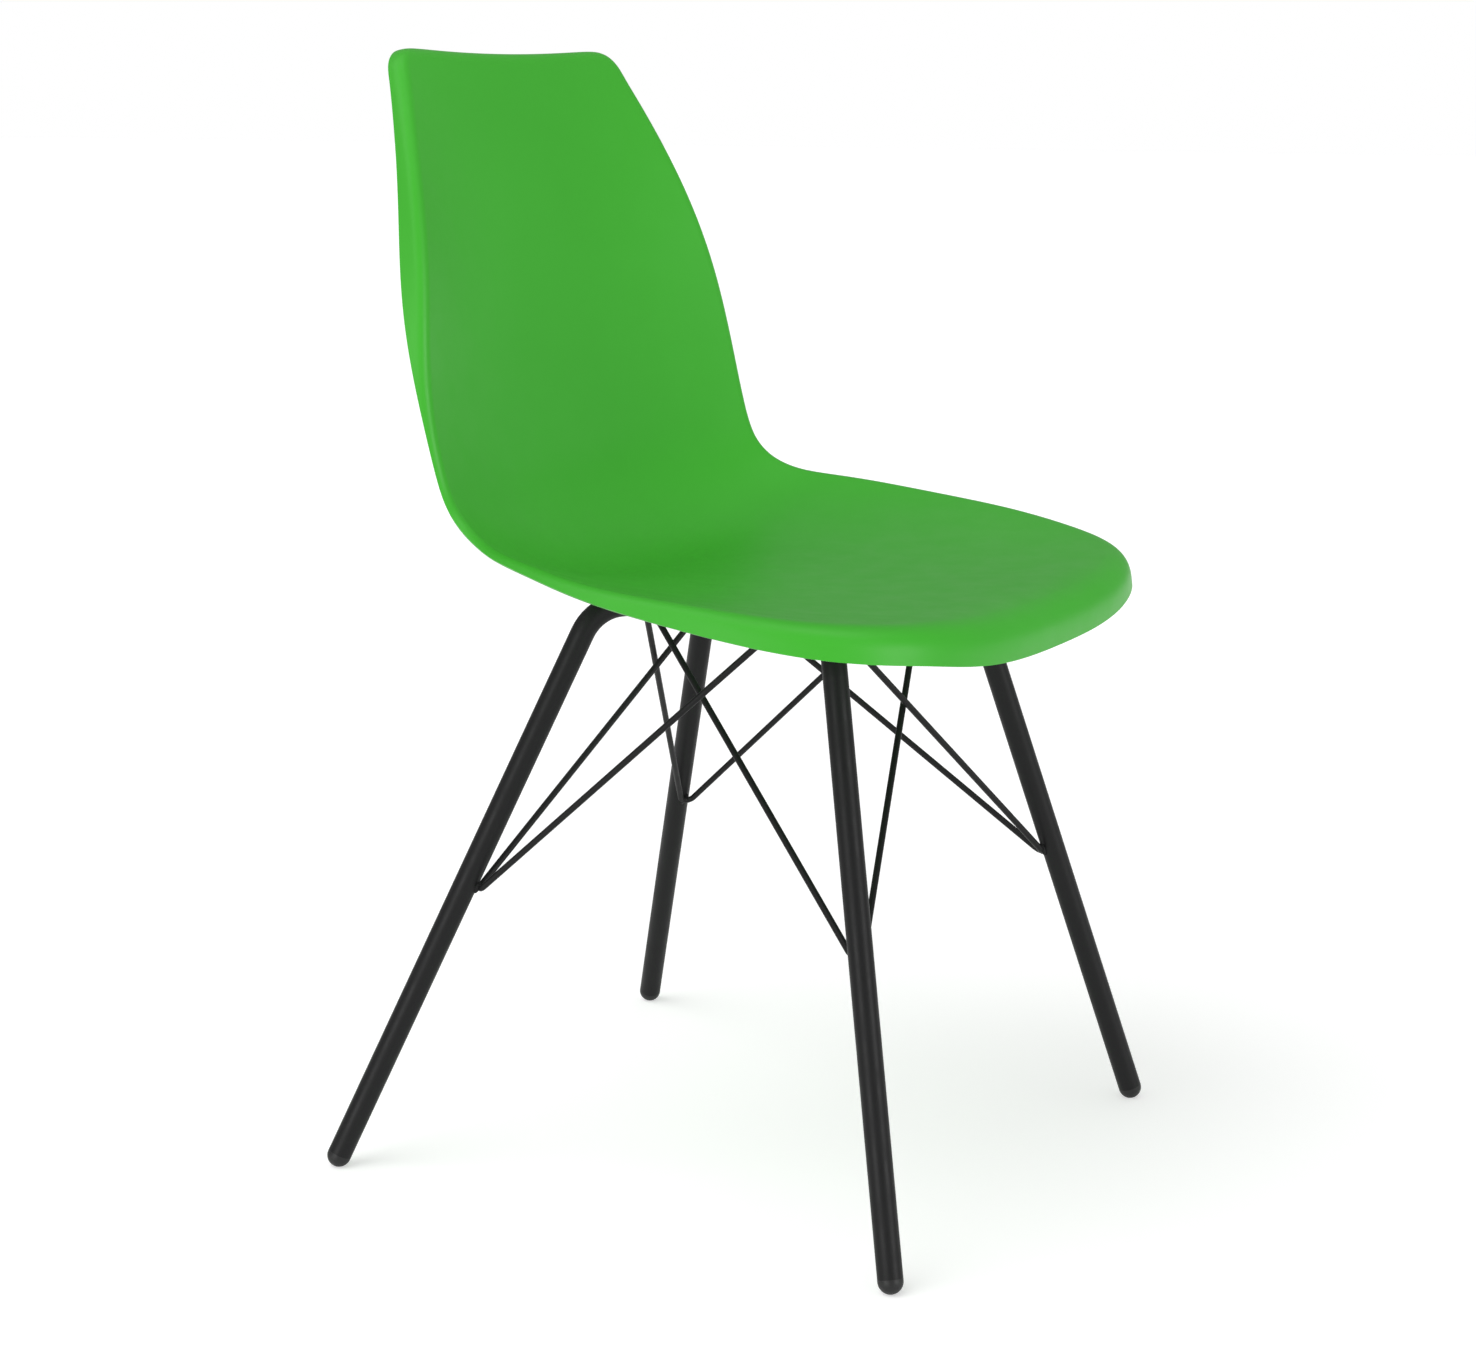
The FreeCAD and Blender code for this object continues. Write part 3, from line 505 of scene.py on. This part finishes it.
def turn_profile(mesh: bmesh.types.BMesh, profile: Sequence[tuple[float, float]], steps: int,
                 place: Matrix) -> list[bmesh.types.BMVert]:
    """Turn a profile of (radius, height) pairs into a closed round body about an axis.

    Args:
        mesh: The bmesh that it goes into.
        profile: Points from one pole to the other.
        steps: Faces round the axis.
        place: Puts the axis and its height into the chair.

    Returns:
        The new vertices.
    """
    part = bmesh.new()
    chain = [part.verts.new((radius, 0, height)) for radius, height in profile]
    edges = [part.edges.new(pair) for pair in zip(chain, chain[1:])]
    bmesh.ops.spin(part, geom=chain + edges, cent=(0, 0, 0), axis=(0, 0, 1),
                   angle=math.tau, steps=steps, use_merge=True)
    bmesh.ops.remove_doubles(part, verts=part.verts, dist=1e-4)
    bmesh.ops.recalc_face_normals(part, faces=part.faces)
    bmesh.ops.transform(part, matrix=place, verts=part.verts)
    scratch = bpy.data.meshes.new("turned")
    part.to_mesh(scratch)
    part.free()
    known = set(mesh.verts)
    mesh.from_mesh(scratch)
    bpy.data.meshes.remove(scratch)
    return [vert for vert in mesh.verts if vert not in known]


def along(start: Vector, direction: Vector) -> Matrix:
    """Matrix that takes the origin to a point and +Z to a direction.

    Args:
        start: The point.
        direction: The direction.

    Returns:
        The matrix.
    """
    return Matrix.Translation(start) @ direction.to_track_quat("Z", "Y").to_matrix().to_4x4()


class SmoothCourse:
    """Natural cubic curve through values at places, straight beyond its ends."""

    def __init__(self, places: Sequence[float], values: Sequence[float]) -> None:
        """Solve the curve.

        Args:
            places: Growing places.
            values: One value for each.
        """
        self.places = np.array(places, float)
        self.values = np.array(values, float)
        gaps = np.diff(self.places)
        slopes = np.diff(self.values) / gaps
        count = len(self.places)
        matrix = np.eye(count)
        right = np.zeros(count)
        for i in range(1, count - 1):
            matrix[i, i - 1:i + 2] = gaps[i - 1], 2 * (gaps[i - 1] + gaps[i]), gaps[i]
            right[i] = 6 * (slopes[i] - slopes[i - 1])
        self.bends = np.linalg.solve(matrix, right)

    def at(self, place: float) -> float:
        """Value at a place.

        Args:
            place: Where.

        Returns:
            The value.
        """
        x, v, m = self.places, self.values, self.bends
        i = int(np.clip(np.searchsorted(x, place) - 1, 0, len(x) - 2))
        width = x[i + 1] - x[i]
        if place < x[0]:
            slope = (v[1] - v[0]) / width - width * m[1] / 6
            return v[0] + slope * (place - x[0])
        if place > x[-1]:
            slope = (v[-1] - v[-2]) / width + width * m[-2] / 6
            return v[-1] + slope * (place - x[-1])
        a = (x[i + 1] - place) / width
        b = 1 - a
        bend = ((a ** 3 - a) * m[i] + (b ** 3 - b) * m[i + 1]) * width * width / 6
        return a * v[i] + b * v[i + 1] + bend


@dataclass(frozen=True)
class Section:
    """One cross-section of the shell's face, and its rolled edge there."""

    share: float
    half_width: float
    rise: float
    roll_angle: float
    roll_length: float
    roll_radius: float


@dataclass(frozen=True)
class ShellForm:
    """The moulded shell as a formula: middle line, dished face, outline and rolled edge."""

    low_reach: float = 71.6
    low_height: float = 444.0
    hip_radius: float = 89.0
    back_lean: float = 9.3
    back_curve: float = 5200.0
    seat_curve: float = 12500.0
    seat_flat: float = 281.0
    front_radius: float = 80.0
    seat_length: float = 303.0
    back_length: float = 431.0
    top_corner: float = 17.0
    top_dip: float = 4.2
    front_corner: float = 166.0
    front_squareness: float = 3.1
    dish_power: float = 2.3
    spine_top_inset: float = 60.0
    spine_front_inset: float = 120.0
    thickness: float = 4.0
    least_roll_length: float = 0.5
    outline_points: int = 46
    top_points: int = 30
    corner_points: int = 20
    side_points: int = 90
    turn_closeness: float = 60.0
    turn_window: int = 5
    sharpest_turn: float = 0.05
    face_shares: tuple[float, ...] = (0.0, 0.14, 0.28, 0.42, 0.56, 0.69, 0.8, 0.89, 0.95, 0.985)
    roll_shares: tuple[float, ...] = (0.2, 0.4, 0.6, 0.8, 1.0)
    straight_shares: tuple[float, ...] = (0.5, 1.0)
    sections: tuple[Section, ...] = (
        Section(-1.00, 233.0, 11.0, 85.0, 8.5, 21.0),
        Section(-0.76, 233.5, 13.5, 77.0, 10.0, 15.0),
        Section(-0.52, 245.0, 21.0, 70.0, 10.5, 8.5),
        Section(-0.24, 250.0, 30.0, 58.0, 4.0, 7.5),
        Section(0.05, 223.0, 40.0, 53.0, 0.6, 7.5),
        Section(0.24, 209.0, 31.0, 53.0, 0.6, 7.5),
        Section(0.415, 207.5, 25.0, 58.0, 2.0, 7.5),
        Section(0.635, 187.5, 27.0, 86.0, 12.0, 7.5),
        Section(0.83, 162.0, 18.0, 95.0, 7.0, 7.5),
        Section(1.00, 133.0, 4.0, 88.0, 4.0, 9.0),
    )

    def course(self, what: str) -> SmoothCourse:
        """Smooth course of one section size along the face.

        Args:
            what: Name of the size.

        Returns:
            The course, by place along the face.
        """
        places = [section.share * (self.seat_length if section.share < 0 else self.back_length)
                  for section in self.sections]
        return SmoothCourse(places, [getattr(section, what) for section in self.sections])

    def middle(self, place: float) -> tuple[Vector, Vector]:
        """Point of the face's middle line and the face's normal there.

        Args:
            place: Length along the line, growing from the front over the low point to the top.

        Returns:
            The point and the unit normal on the sitter's side.
        """
        if place >= 0:
            hip_length = self.hip_radius * math.radians(QUARTER_TURN - self.back_lean)
            runs = ((hip_length, 1 / self.hip_radius), (math.inf, -1 / self.back_curve))
        else:
            runs = ((self.seat_flat, 1 / self.seat_curve), (math.inf, -1 / self.front_radius))
        y = z = heading = 0.0
        left = abs(place)
        for longest, bend in runs:
            length = min(left, longest)
            turned = heading + bend * length
            y += (math.sin(turned) - math.sin(heading)) / bend
            z -= (math.cos(turned) - math.cos(heading)) / bend
            heading = turned
            left -= length
        way = 1 if place >= 0 else -1
        normal = Vector((0, -way * math.sin(heading), math.cos(heading)))
        return Vector((0, self.low_reach + way * y, self.low_height + z)), normal


class ShellSurface:
    """Control points of the shell's smooth face, from its form."""

    def __init__(self, form: ShellForm) -> None:
        """Solve the courses of the section sizes.

        Args:
            form: The shell's sizes.
        """
        self.form = form
        self.half_width = form.course("half_width")
        self.rise = form.course("rise")
        self.roll_angle = form.course("roll_angle")
        self.roll_length = form.course("roll_length")
        self.roll_radius = form.course("roll_radius")

    def face_rise(self, x: float, place: float) -> float:
        """Height of the face over its middle line, on its normal.

        Args:
            x: Distance from the middle plane.
            place: Place along the face.

        Returns:
            The height.
        """
        share = abs(x) / self.half_width.at(place)
        return self.rise.at(place) * share ** self.form.dish_power

    def face(self, x: float, place: float) -> Vector:
        """Point of the face.

        Args:
            x: Distance from the middle plane.
            place: Place along the face.

        Returns:
            The point.
        """
        point, normal = self.form.middle(place)
        return point + Vector((x, 0, 0)) + normal * self.face_rise(x, place)

    def underside_height(self, x: float, y: float) -> float:
        """Height of the seat's underside.

        Args:
            x: Distance from the middle plane.
            y: Place along the chair.

        Returns:
            The height over the floor.
        """
        point = self.face(x, y - self.form.low_reach)
        return point.z - self.form.thickness

    def outline_course(self) -> np.ndarray:
        """Fine polyline round the right half of the flattened face, from top to front.

        Returns:
            Rows of (distance from the middle, place).
        """
        form = self.form
        top, corner, rounded = form.back_length, form.top_corner, form.front_corner
        front = -form.seat_length
        power = 2 / form.front_squareness
        straight = self.half_width.at(top - corner) - corner
        course = []
        for x in np.arange(form.top_points) * straight / form.top_points:
            course.append((x, top - form.top_dip * (1 - (x / straight) ** 2)))
        corner_shares = QUARTER_TURN * np.arange(form.corner_points) / form.corner_points
        for angle in np.radians(QUARTER_TURN - corner_shares):
            course.append((straight + corner * math.cos(angle),
                           top - corner + corner * math.sin(angle)))
        side_length = top - corner - (front + rounded)
        side_places = side_length * np.arange(form.side_points) / form.side_points
        for place in top - corner - side_places:
            course.append((self.half_width.at(place), place))
        for angle in np.radians(np.arange(QUARTER_TURN + 1)):
            place = front + rounded - rounded * math.sin(angle) ** power
            width = self.half_width.at(place) * max(math.cos(angle), 0.0) ** power
            course.append((width, place))
        return np.array(course)

    def outline(self) -> np.ndarray:
        """Outline points, closer together where the outline turns.

        Returns:
            Rows of (distance from the middle, place).
        """
        form = self.form
        course = self.outline_course()
        steps = np.diff(course, axis=0)
        lengths = np.hypot(*steps.T)
        turns = np.concatenate([[0.0], np.abs(np.diff(np.arctan2(steps[:, 1], steps[:, 0])))])
        weights = []
        for i, length in enumerate(lengths):
            window = slice(max(0, i - form.turn_window), i + form.turn_window + 1)
            bend = min(turns[window].sum() / lengths[window].sum(), form.sharpest_turn)
            weights.append(length * (1 + form.turn_closeness * bend))
        passed = np.concatenate([[0.0], np.cumsum(weights)])
        wanted = np.linspace(0, passed[-1], form.outline_points)
        return np.stack([np.interp(wanted, passed, column) for column in course.T], axis=1)

    def edge(self, x: float, place: float, outward: Sequence[float]) -> list[Vector]:
        """Points of the rolled edge beyond one outline point.

        Args:
            x: Distance of the outline point from the middle.
            place: Its place along the face.
            outward: Unit normal of the flattened outline there.

        Returns:
            Points from the face to the rim.
        """
        form = self.form
        probe = 0.5
        nx, nl = outward
        ahead = self.face_rise(x + nx * probe, place + nl * probe)
        behind = self.face_rise(x - nx * probe, place - nl * probe)
        slope = math.atan2(ahead - behind, 2 * probe)
        radius = self.roll_radius.at(place)
        droop = math.radians(self.roll_angle.at(place))
        straight = max(self.roll_length.at(place), form.least_roll_length)
        rows = [(0.0, 0.0)]
        for share in form.roll_shares:
            angle = slope - (slope + droop) * share
            rows.append((radius * (math.sin(slope) - math.sin(angle)),
                         radius * (math.cos(angle) - math.cos(slope))))
        out, rise = rows[-1]
        for share in form.straight_shares:
            rows.append((out + straight * share * math.cos(droop),
                         rise - straight * share * math.sin(droop)))
        start = self.face(x, place)
        _, normal = form.middle(place)
        out_direction = Vector((nx, 0, 0)) + Vector((0, normal.z, -normal.y)) * nl
        return [start + out_direction * out + normal * rise for out, rise in rows]

    def columns(self) -> list[list[Vector]]:
        """Control points in columns from the middle to the rim.

        Returns:
            One column for each outline point.
        """
        form = self.form
        outline = self.outline()
        spine_top = form.back_length - form.spine_top_inset
        spine_front = -form.seat_length + form.spine_front_inset
        last = len(outline) - 1
        columns = []
        for i, (x, place) in enumerate(outline):
            if i in (0, last):
                outward = (0.0, 1.0 if i == 0 else -1.0)
            else:
                dx, dl = outline[i + 1] - outline[i - 1]
                outward = (-dl / math.hypot(dx, dl), dx / math.hypot(dx, dl))
            spine = spine_top + (spine_front - spine_top) * i / last
            column = [self.face(x * share, spine * (1 - share) + place * share)
                      for share in form.face_shares]
            columns.append(column + self.edge(x, place, outward))
        return columns


@dataclass
class SeatShell:
    """The green moulding: its wall with a rounded rim, and the bosses under the seat."""

    form: ShellForm
    finishes: Finishes
    smooth_levels: int = 2
    rim_radius: float = 1.7
    rim_segments: int = 4
    rim_angle: float = 60.0
    boss_radius: float = 10.0
    boss_root_radius: float = 13.0
    boss_foot_height: float = 430.0
    boss_steps: int = 48
    boss_soft_edge: float = 0.5
    boss_overlap: float = 1.5
    boss_root_depth: float = 0.3
    flare_angles: tuple[float, ...] = (30.0, 60.0, 90.0)
    insert_radius: float = 4.5
    insert_length: float = 10.0
    screws: tuple[tuple[float, float], ...] = ((109.5, -75.0), (70.0, 56.6))

    def build(self) -> None:
        """Make both pieces."""
        surface = ShellSurface(self.form)
        self.make_wall(surface)
        self.make_bosses(surface)

    def make_wall(self, surface: ShellSurface) -> None:
        """The wall: half a control grid, mirrored, smoothed, thickened and rounded at its rim.

        Args:
            surface: Gives the control points.
        """
        columns = surface.columns()
        across, up = len(columns), len(columns[0])
        mesh = bmesh.new()
        bmesh.ops.create_grid(mesh, x_segments=across - 1, y_segments=up - 1, size=0.5)
        for vert in mesh.verts:
            i = round((vert.co.x + 0.5) * (across - 1))
            j = round((vert.co.y + 0.5) * (up - 1))
            vert.co = columns[i][j]
            if i in (0, across - 1) or j == 0:
                vert.co.x = 0.0
        bmesh.ops.mirror(mesh, geom=mesh.verts[:] + mesh.edges[:] + mesh.faces[:], axis="X",
                         merge_dist=1e-3)
        bmesh.ops.recalc_face_normals(mesh, faces=mesh.faces)
        seat_face = min(mesh.faces, key=lambda face: face.calc_center_median().length_squared)
        if seat_face.normal.z < 0:
            bmesh.ops.reverse_faces(mesh, faces=mesh.faces)
        piece = add_piece("shell_moulding", mesh, self.finishes.by_slot[Slot.SHELL],
                          ["shell"])
        smooth = piece.modifiers.new("smooth", "SUBSURF")
        smooth.levels = smooth.render_levels = self.smooth_levels
        wall = piece.modifiers.new("wall", "SOLIDIFY")
        wall.thickness = self.form.thickness * MM
        wall.offset = -1
        wall.use_even_offset = True
        wall.use_quality_normals = True
        rim = piece.modifiers.new("rim", "BEVEL")
        rim.width = self.rim_radius * MM
        rim.segments = self.rim_segments
        rim.limit_method = "ANGLE"
        rim.angle_limit = math.radians(self.rim_angle)
        rim.harden_normals = True

    def make_bosses(self, surface: ShellSurface) -> None:
        """Four bosses with flared roots that follow the seat's underside, open below.

        Args:
            surface: Gives the underside's height.
        """
        mesh = bmesh.new()
        soft = self.boss_soft_edge
        for half_width, reach in self.screws:
            for side in Side:
                x = side.value * half_width
                top = surface.underside_height(x, reach)
                foot = self.boss_foot_height
                flare = self.boss_root_radius - self.boss_radius
                profile = [(0.0, foot + self.insert_length),
                           (self.insert_radius, foot + self.insert_length),
                           (self.insert_radius, foot + soft), (self.insert_radius + soft, foot),
                           (self.boss_radius - soft, foot), (self.boss_radius, foot + soft),
                           (self.boss_radius, top - flare)]
                for angle in np.radians(self.flare_angles):
                    profile.append((self.boss_root_radius - flare * math.cos(angle),
                                    top - flare + flare * math.sin(angle)))
                end = top + self.boss_overlap
                profile += [(self.boss_root_radius, end), (0.0, end)]
                place = Matrix.Translation((x, reach, 0))
                new = turn_profile(mesh, profile, self.boss_steps, place)
                for vert in new:
                    if vert.co.z > top - self.boss_root_depth:
                        here = surface.underside_height(vert.co.x, vert.co.y)
                        vert.co.z += here - top
        add_piece("seat_bosses", mesh, self.finishes.by_slot[Slot.SHELL], ["shell"])


@dataclass(frozen=True)
class FrameForm:
    """Axes of the welded frame, with the sizes of its solids."""

    tube_radius: float = 9.0
    wire_radius: float = 2.4
    arm_height: float = 421.0
    foot_flat: float = 0.5
    brace_height: float = 216.0
    feet: tuple[tuple[float, float], ...] = ((212.4, -223.9), (221.9, 238.1))
    knees: tuple[tuple[float, float], ...] = ((112.3, -122.2), (83.7, 92.5))
    apexes: tuple[float, float] = (-55.0, 32.2)
    weld_distances: tuple[float, float] = (48.0, 43.0)
    tab_weld: tuple[float, float, float] = (120.3, -77.3, 422.0)
    side_shares: tuple[float, float] = (0.75, 0.5)
    upper_shares: tuple[float, float] = (0.92, 0.2)
    lower_shares: tuple[float, float] = (0.04, 0.92)

    def foot(self, end: End, side: Side) -> Vector:
        """Centre of the dome under a leg.

        Args:
            end: Front or rear.
            side: The sitter's left or right.

        Returns:
            The point.
        """
        half_width, reach = self.feet[end.row]
        return Vector((side.value * half_width, reach, self.tube_radius - self.foot_flat))

    def knee(self, end: End, side: Side) -> Vector:
        """Corner between the axes of a leg and its arm.

        Args:
            end: Front or rear.
            side: The sitter's left or right.

        Returns:
            The point.
        """
        half_width, reach = self.knees[end.row]
        return Vector((side.value * half_width, reach, self.arm_height))

    def apex(self, end: End) -> Vector:
        """Corner between the axes of a hoop's two arms.

        Args:
            end: Front or rear.

        Returns:
            The point.
        """
        return Vector((0, self.apexes[end.row], self.arm_height))

    def leg(self, end: End, side: Side) -> Vector:
        """Way up a leg.

        Args:
            end: Front or rear.
            side: The sitter's left or right.

        Returns:
            The unit vector.
        """
        return (self.knee(end, side) - self.foot(end, side)).normalized()

    def on_leg(self, end: End, side: Side) -> Vector:
        """Point of a leg's axis at the height of its brace wire's point.

        Args:
            end: Front or rear.
            side: The sitter's left or right.

        Returns:
            The point.
        """
        foot, leg = self.foot(end, side), self.leg(end, side)
        return foot + leg * ((self.brace_height - foot.z) / leg.z)

    def arm_weld(self, end: End, side: Side, source: Vector,
                 shares: tuple[float, float]) -> Vector:
        """Where a wire that comes from a point enters an arm.

        Args:
            end: The arm's end.
            side: The arm's side.
            source: Where the wire comes from.
            shares: How far it is beside and below the arm's axis, of the tube's radius.

        Returns:
            The point.
        """
        knee = self.knee(end, side)
        arm = (self.apex(end) - knee).normalized()
        across = arm.cross(UP).normalized()
        if across.dot(source - knee) < 0:
            across.negate()
        aside, below = (self.tube_radius * share for share in shares)
        return knee + arm * self.weld_distances[end.row] + across * aside - UP * below

    def brace_ends(self, end: End, side: Side) -> tuple[Vector, Vector]:
        """Both upper ends of the wire whose point is on a leg.

        Args:
            end: Front or rear.
            side: The sitter's left or right.

        Returns:
            The end along the chair's side, and the end across the chair.
        """
        source = self.on_leg(end, side)
        if end is End.FRONT:
            along_side = self.arm_weld(End.REAR, side, source, self.side_shares)
        else:
            x, y, z = self.tab_weld
            along_side = Vector((side.value * x, y, z))
        shares = self.upper_shares if side is Side.LEFT else self.lower_shares
        return along_side, self.arm_weld(end, Side(-side.value), source, shares)


@dataclass
class TubeFrame:
    """The welded frame: its CAD tubes, wires and tabs, and the beads at their welds."""

    form: FrameForm
    finishes: Finishes
    nodes: dict[str, bpy.types.Object]
    bead_size: tuple[float, float, float] = (1.6, 2.2, 4.6)
    end_bead_size: tuple[float, float, float] = (3.1, 3.1, 2.4)
    bead_rise: float = 0.2
    end_bead_setback: float = 0.8
    bead_faces: tuple[int, int] = (20, 12)

    def build(self) -> None:
        """Dress the CAD nodes and lay the beads."""
        names = ["front_hoop", "rear_hoop", "centre_tie"]
        names += [corner_name(end, side, what) for end, side in CORNERS
                  for what in ("brace", "lug")]
        for name in names:
            self.finishes.dress(self.nodes[name], Slot.FRAME)
        self.lay_beads()

    def lay_beads(self) -> None:
        """Small beads beside each wire's point, and round each wire's upper ends."""
        mesh = bmesh.new()
        form = self.form
        for end, side in CORNERS:
            ends = form.brace_ends(end, side)
            on_leg, leg = form.on_leg(end, side), form.leg(end, side)
            inward = (ends[0] + ends[1]) / 2 - on_leg
            inward = (inward - leg * inward.dot(leg)).normalized()
            beside = leg.cross(inward)
            root = on_leg + inward * (form.tube_radius + self.bead_rise)
            for way in (-1, 1):
                self.lay_bead(mesh, root + beside * way * form.wire_radius, leg, self.bead_size)
            for point in ends:
                wire = (point - on_leg).normalized()
                place = point - wire * self.end_bead_setback
                self.lay_bead(mesh, place, wire, self.end_bead_size)
        add_piece("wire_welds", mesh, self.finishes.weld)

    def lay_bead(self, mesh: bmesh.types.BMesh, place: Vector, direction: Vector,
                 radii: tuple[float, float, float]) -> None:
        """One rounded bead.

        Args:
            mesh: The bmesh that it goes into.
            place: Its middle.
            direction: Its length's direction.
            radii: Half sizes, the last along the direction.
        """
        matrix = along(place, direction) @ Matrix.Diagonal((*radii, 1.0))
        round_faces, high_faces = self.bead_faces
        bmesh.ops.create_uvsphere(mesh, u_segments=round_faces, v_segments=high_faces,
                                  radius=1.0, matrix=matrix)


@dataclass
class FootCaps:
    """The push-in caps that the legs stand on."""

    finishes: Finishes
    nodes: dict[str, bpy.types.Object]

    def build(self) -> None:
        """Dress the four caps."""
        for end, side in CORNERS:
            self.finishes.dress(self.nodes[corner_name(end, side, "foot")], Slot.FOOT)


@dataclass
class SeatFastening:
    """Pads, inserts, screws and washers between the shell and the frame."""

    finishes: Finishes
    nodes: dict[str, bpy.types.Object]

    def build(self) -> None:
        """Dress the fastening pieces."""
        for end, side in CORNERS:
            self.finishes.dress(self.nodes[corner_name(end, side, "pad")], Slot.PAD)
        self.finishes.dress(self.nodes["threaded_inserts"], Slot.INSERT)
        for name in ("seat_screws", "spring_washers", "flat_washers"):
            self.finishes.dress(self.nodes[name], Slot.FASTENER)


@dataclass(frozen=True)
class FarLamp:
    """A lamp so far away that its light is even over the floor; its spread is in degrees."""

    name: str
    toward: tuple[float, float, float]
    level: float
    spread: float
    casts: bool


@dataclass
class PhotoStudio:
    """Floor, world, lamps and the photograph's camera."""

    camera_place: tuple[float, float, float] = (-1.75089, -0.99770, 0.79815)
    camera_pitch: float = 77.74
    camera_turn: float = -59.87
    lens: float = 66.68
    sensor_width: float = 36.0
    floor_size: float = 30.0
    world_level: float = 0.37
    lamps: tuple[FarLamp, ...] = (
        FarLamp("key_lamp", (-0.70, 0.40, 1.20), 0.30, 50.0, True),
        FarLamp("front_fill", (-0.10, -1.00, 0.22), 0.44, 30.0, False),
        FarLamp("top_fill", (0.00, -0.25, 1.00), 0.16, 30.0, False),
        FarLamp("side_fill", (-1.00, 0.15, 0.06), 0.43, 30.0, False),
    )

    def build(self) -> None:
        """Set up the studio."""
        self.lay_floor()
        self.light_world()
        for lamp in self.lamps:
            self.hang(lamp)
        self.place_camera()
        bpy.context.scene.view_settings.view_transform = "Standard"

    def lay_floor(self) -> None:
        """Wide pale floor under the feet."""
        mesh = bmesh.new()
        bmesh.ops.create_grid(mesh, x_segments=1, y_segments=1, size=self.floor_size)
        data = bpy.data.meshes.new("floor")
        mesh.to_mesh(data)
        mesh.free()
        data.materials.append(PaleGround().material())
        floor = bpy.data.objects.new("floor", data)
        bpy.context.scene.collection.objects.link(floor)

    def light_world(self) -> None:
        """Even light from all round, white where the camera sees it."""
        world = bpy.data.worlds.new("studio_air")
        bpy.context.scene.world = world
        world.use_nodes = True
        tree = world.node_tree
        tree.nodes.clear()
        path = tree.nodes.new("ShaderNodeLightPath")
        background = tree.nodes.new("ShaderNodeBackground")
        level = tree.nodes.new("ShaderNodeMapRange")
        level.inputs["To Min"].default_value = self.world_level
        level.inputs["To Max"].default_value = 1.0
        output = tree.nodes.new("ShaderNodeOutputWorld")
        tree.links.new(path.outputs["Is Camera Ray"], level.inputs["Value"])
        tree.links.new(level.outputs["Result"], background.inputs["Strength"])
        tree.links.new(background.outputs["Background"], output.inputs["Surface"])
        background.inputs["Color"].default_value = WHITE

    def hang(self, lamp: FarLamp) -> None:
        """Hang one lamp; at level 1 it alone shows a white face turned to it as white.

        Args:
            lamp: The lamp.
        """
        light = bpy.data.lights.new(lamp.name, "SUN")
        light.energy = lamp.level * math.pi
        light.angle = math.radians(lamp.spread)
        light.use_shadow = lamp.casts
        holder = bpy.data.objects.new(lamp.name, light)
        holder.rotation_euler = Vector(lamp.toward).to_track_quat("Z", "Y").to_euler()
        bpy.context.scene.collection.objects.link(holder)

    def place_camera(self) -> None:
        """The camera at the photograph's angle."""
        lens = bpy.data.cameras.new("photo_camera")
        lens.lens = self.lens
        lens.sensor_width = self.sensor_width
        holder = bpy.data.objects.new("photo_camera", lens)
        holder.location = self.camera_place
        holder.rotation_euler = (math.radians(self.camera_pitch), 0.0,
                                 math.radians(self.camera_turn))
        bpy.context.scene.collection.objects.link(holder)
        bpy.context.scene.camera = holder


def main() -> None:
    """Load the frame, dress and build the chair in order, and set up the studio."""
    logging.basicConfig(level=logging.INFO, format="%(name)s: %(message)s")
    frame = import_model()
    finishes = Finishes()
    nodes = frame["nodes"]
    SeatShell(ShellForm(), finishes).build()
    TubeFrame(FrameForm(), finishes, nodes).build()
    FootCaps(finishes, nodes).build()
    SeatFastening(finishes, nodes).build()
    PhotoStudio().build()


if __name__ == "__main__":
    main()
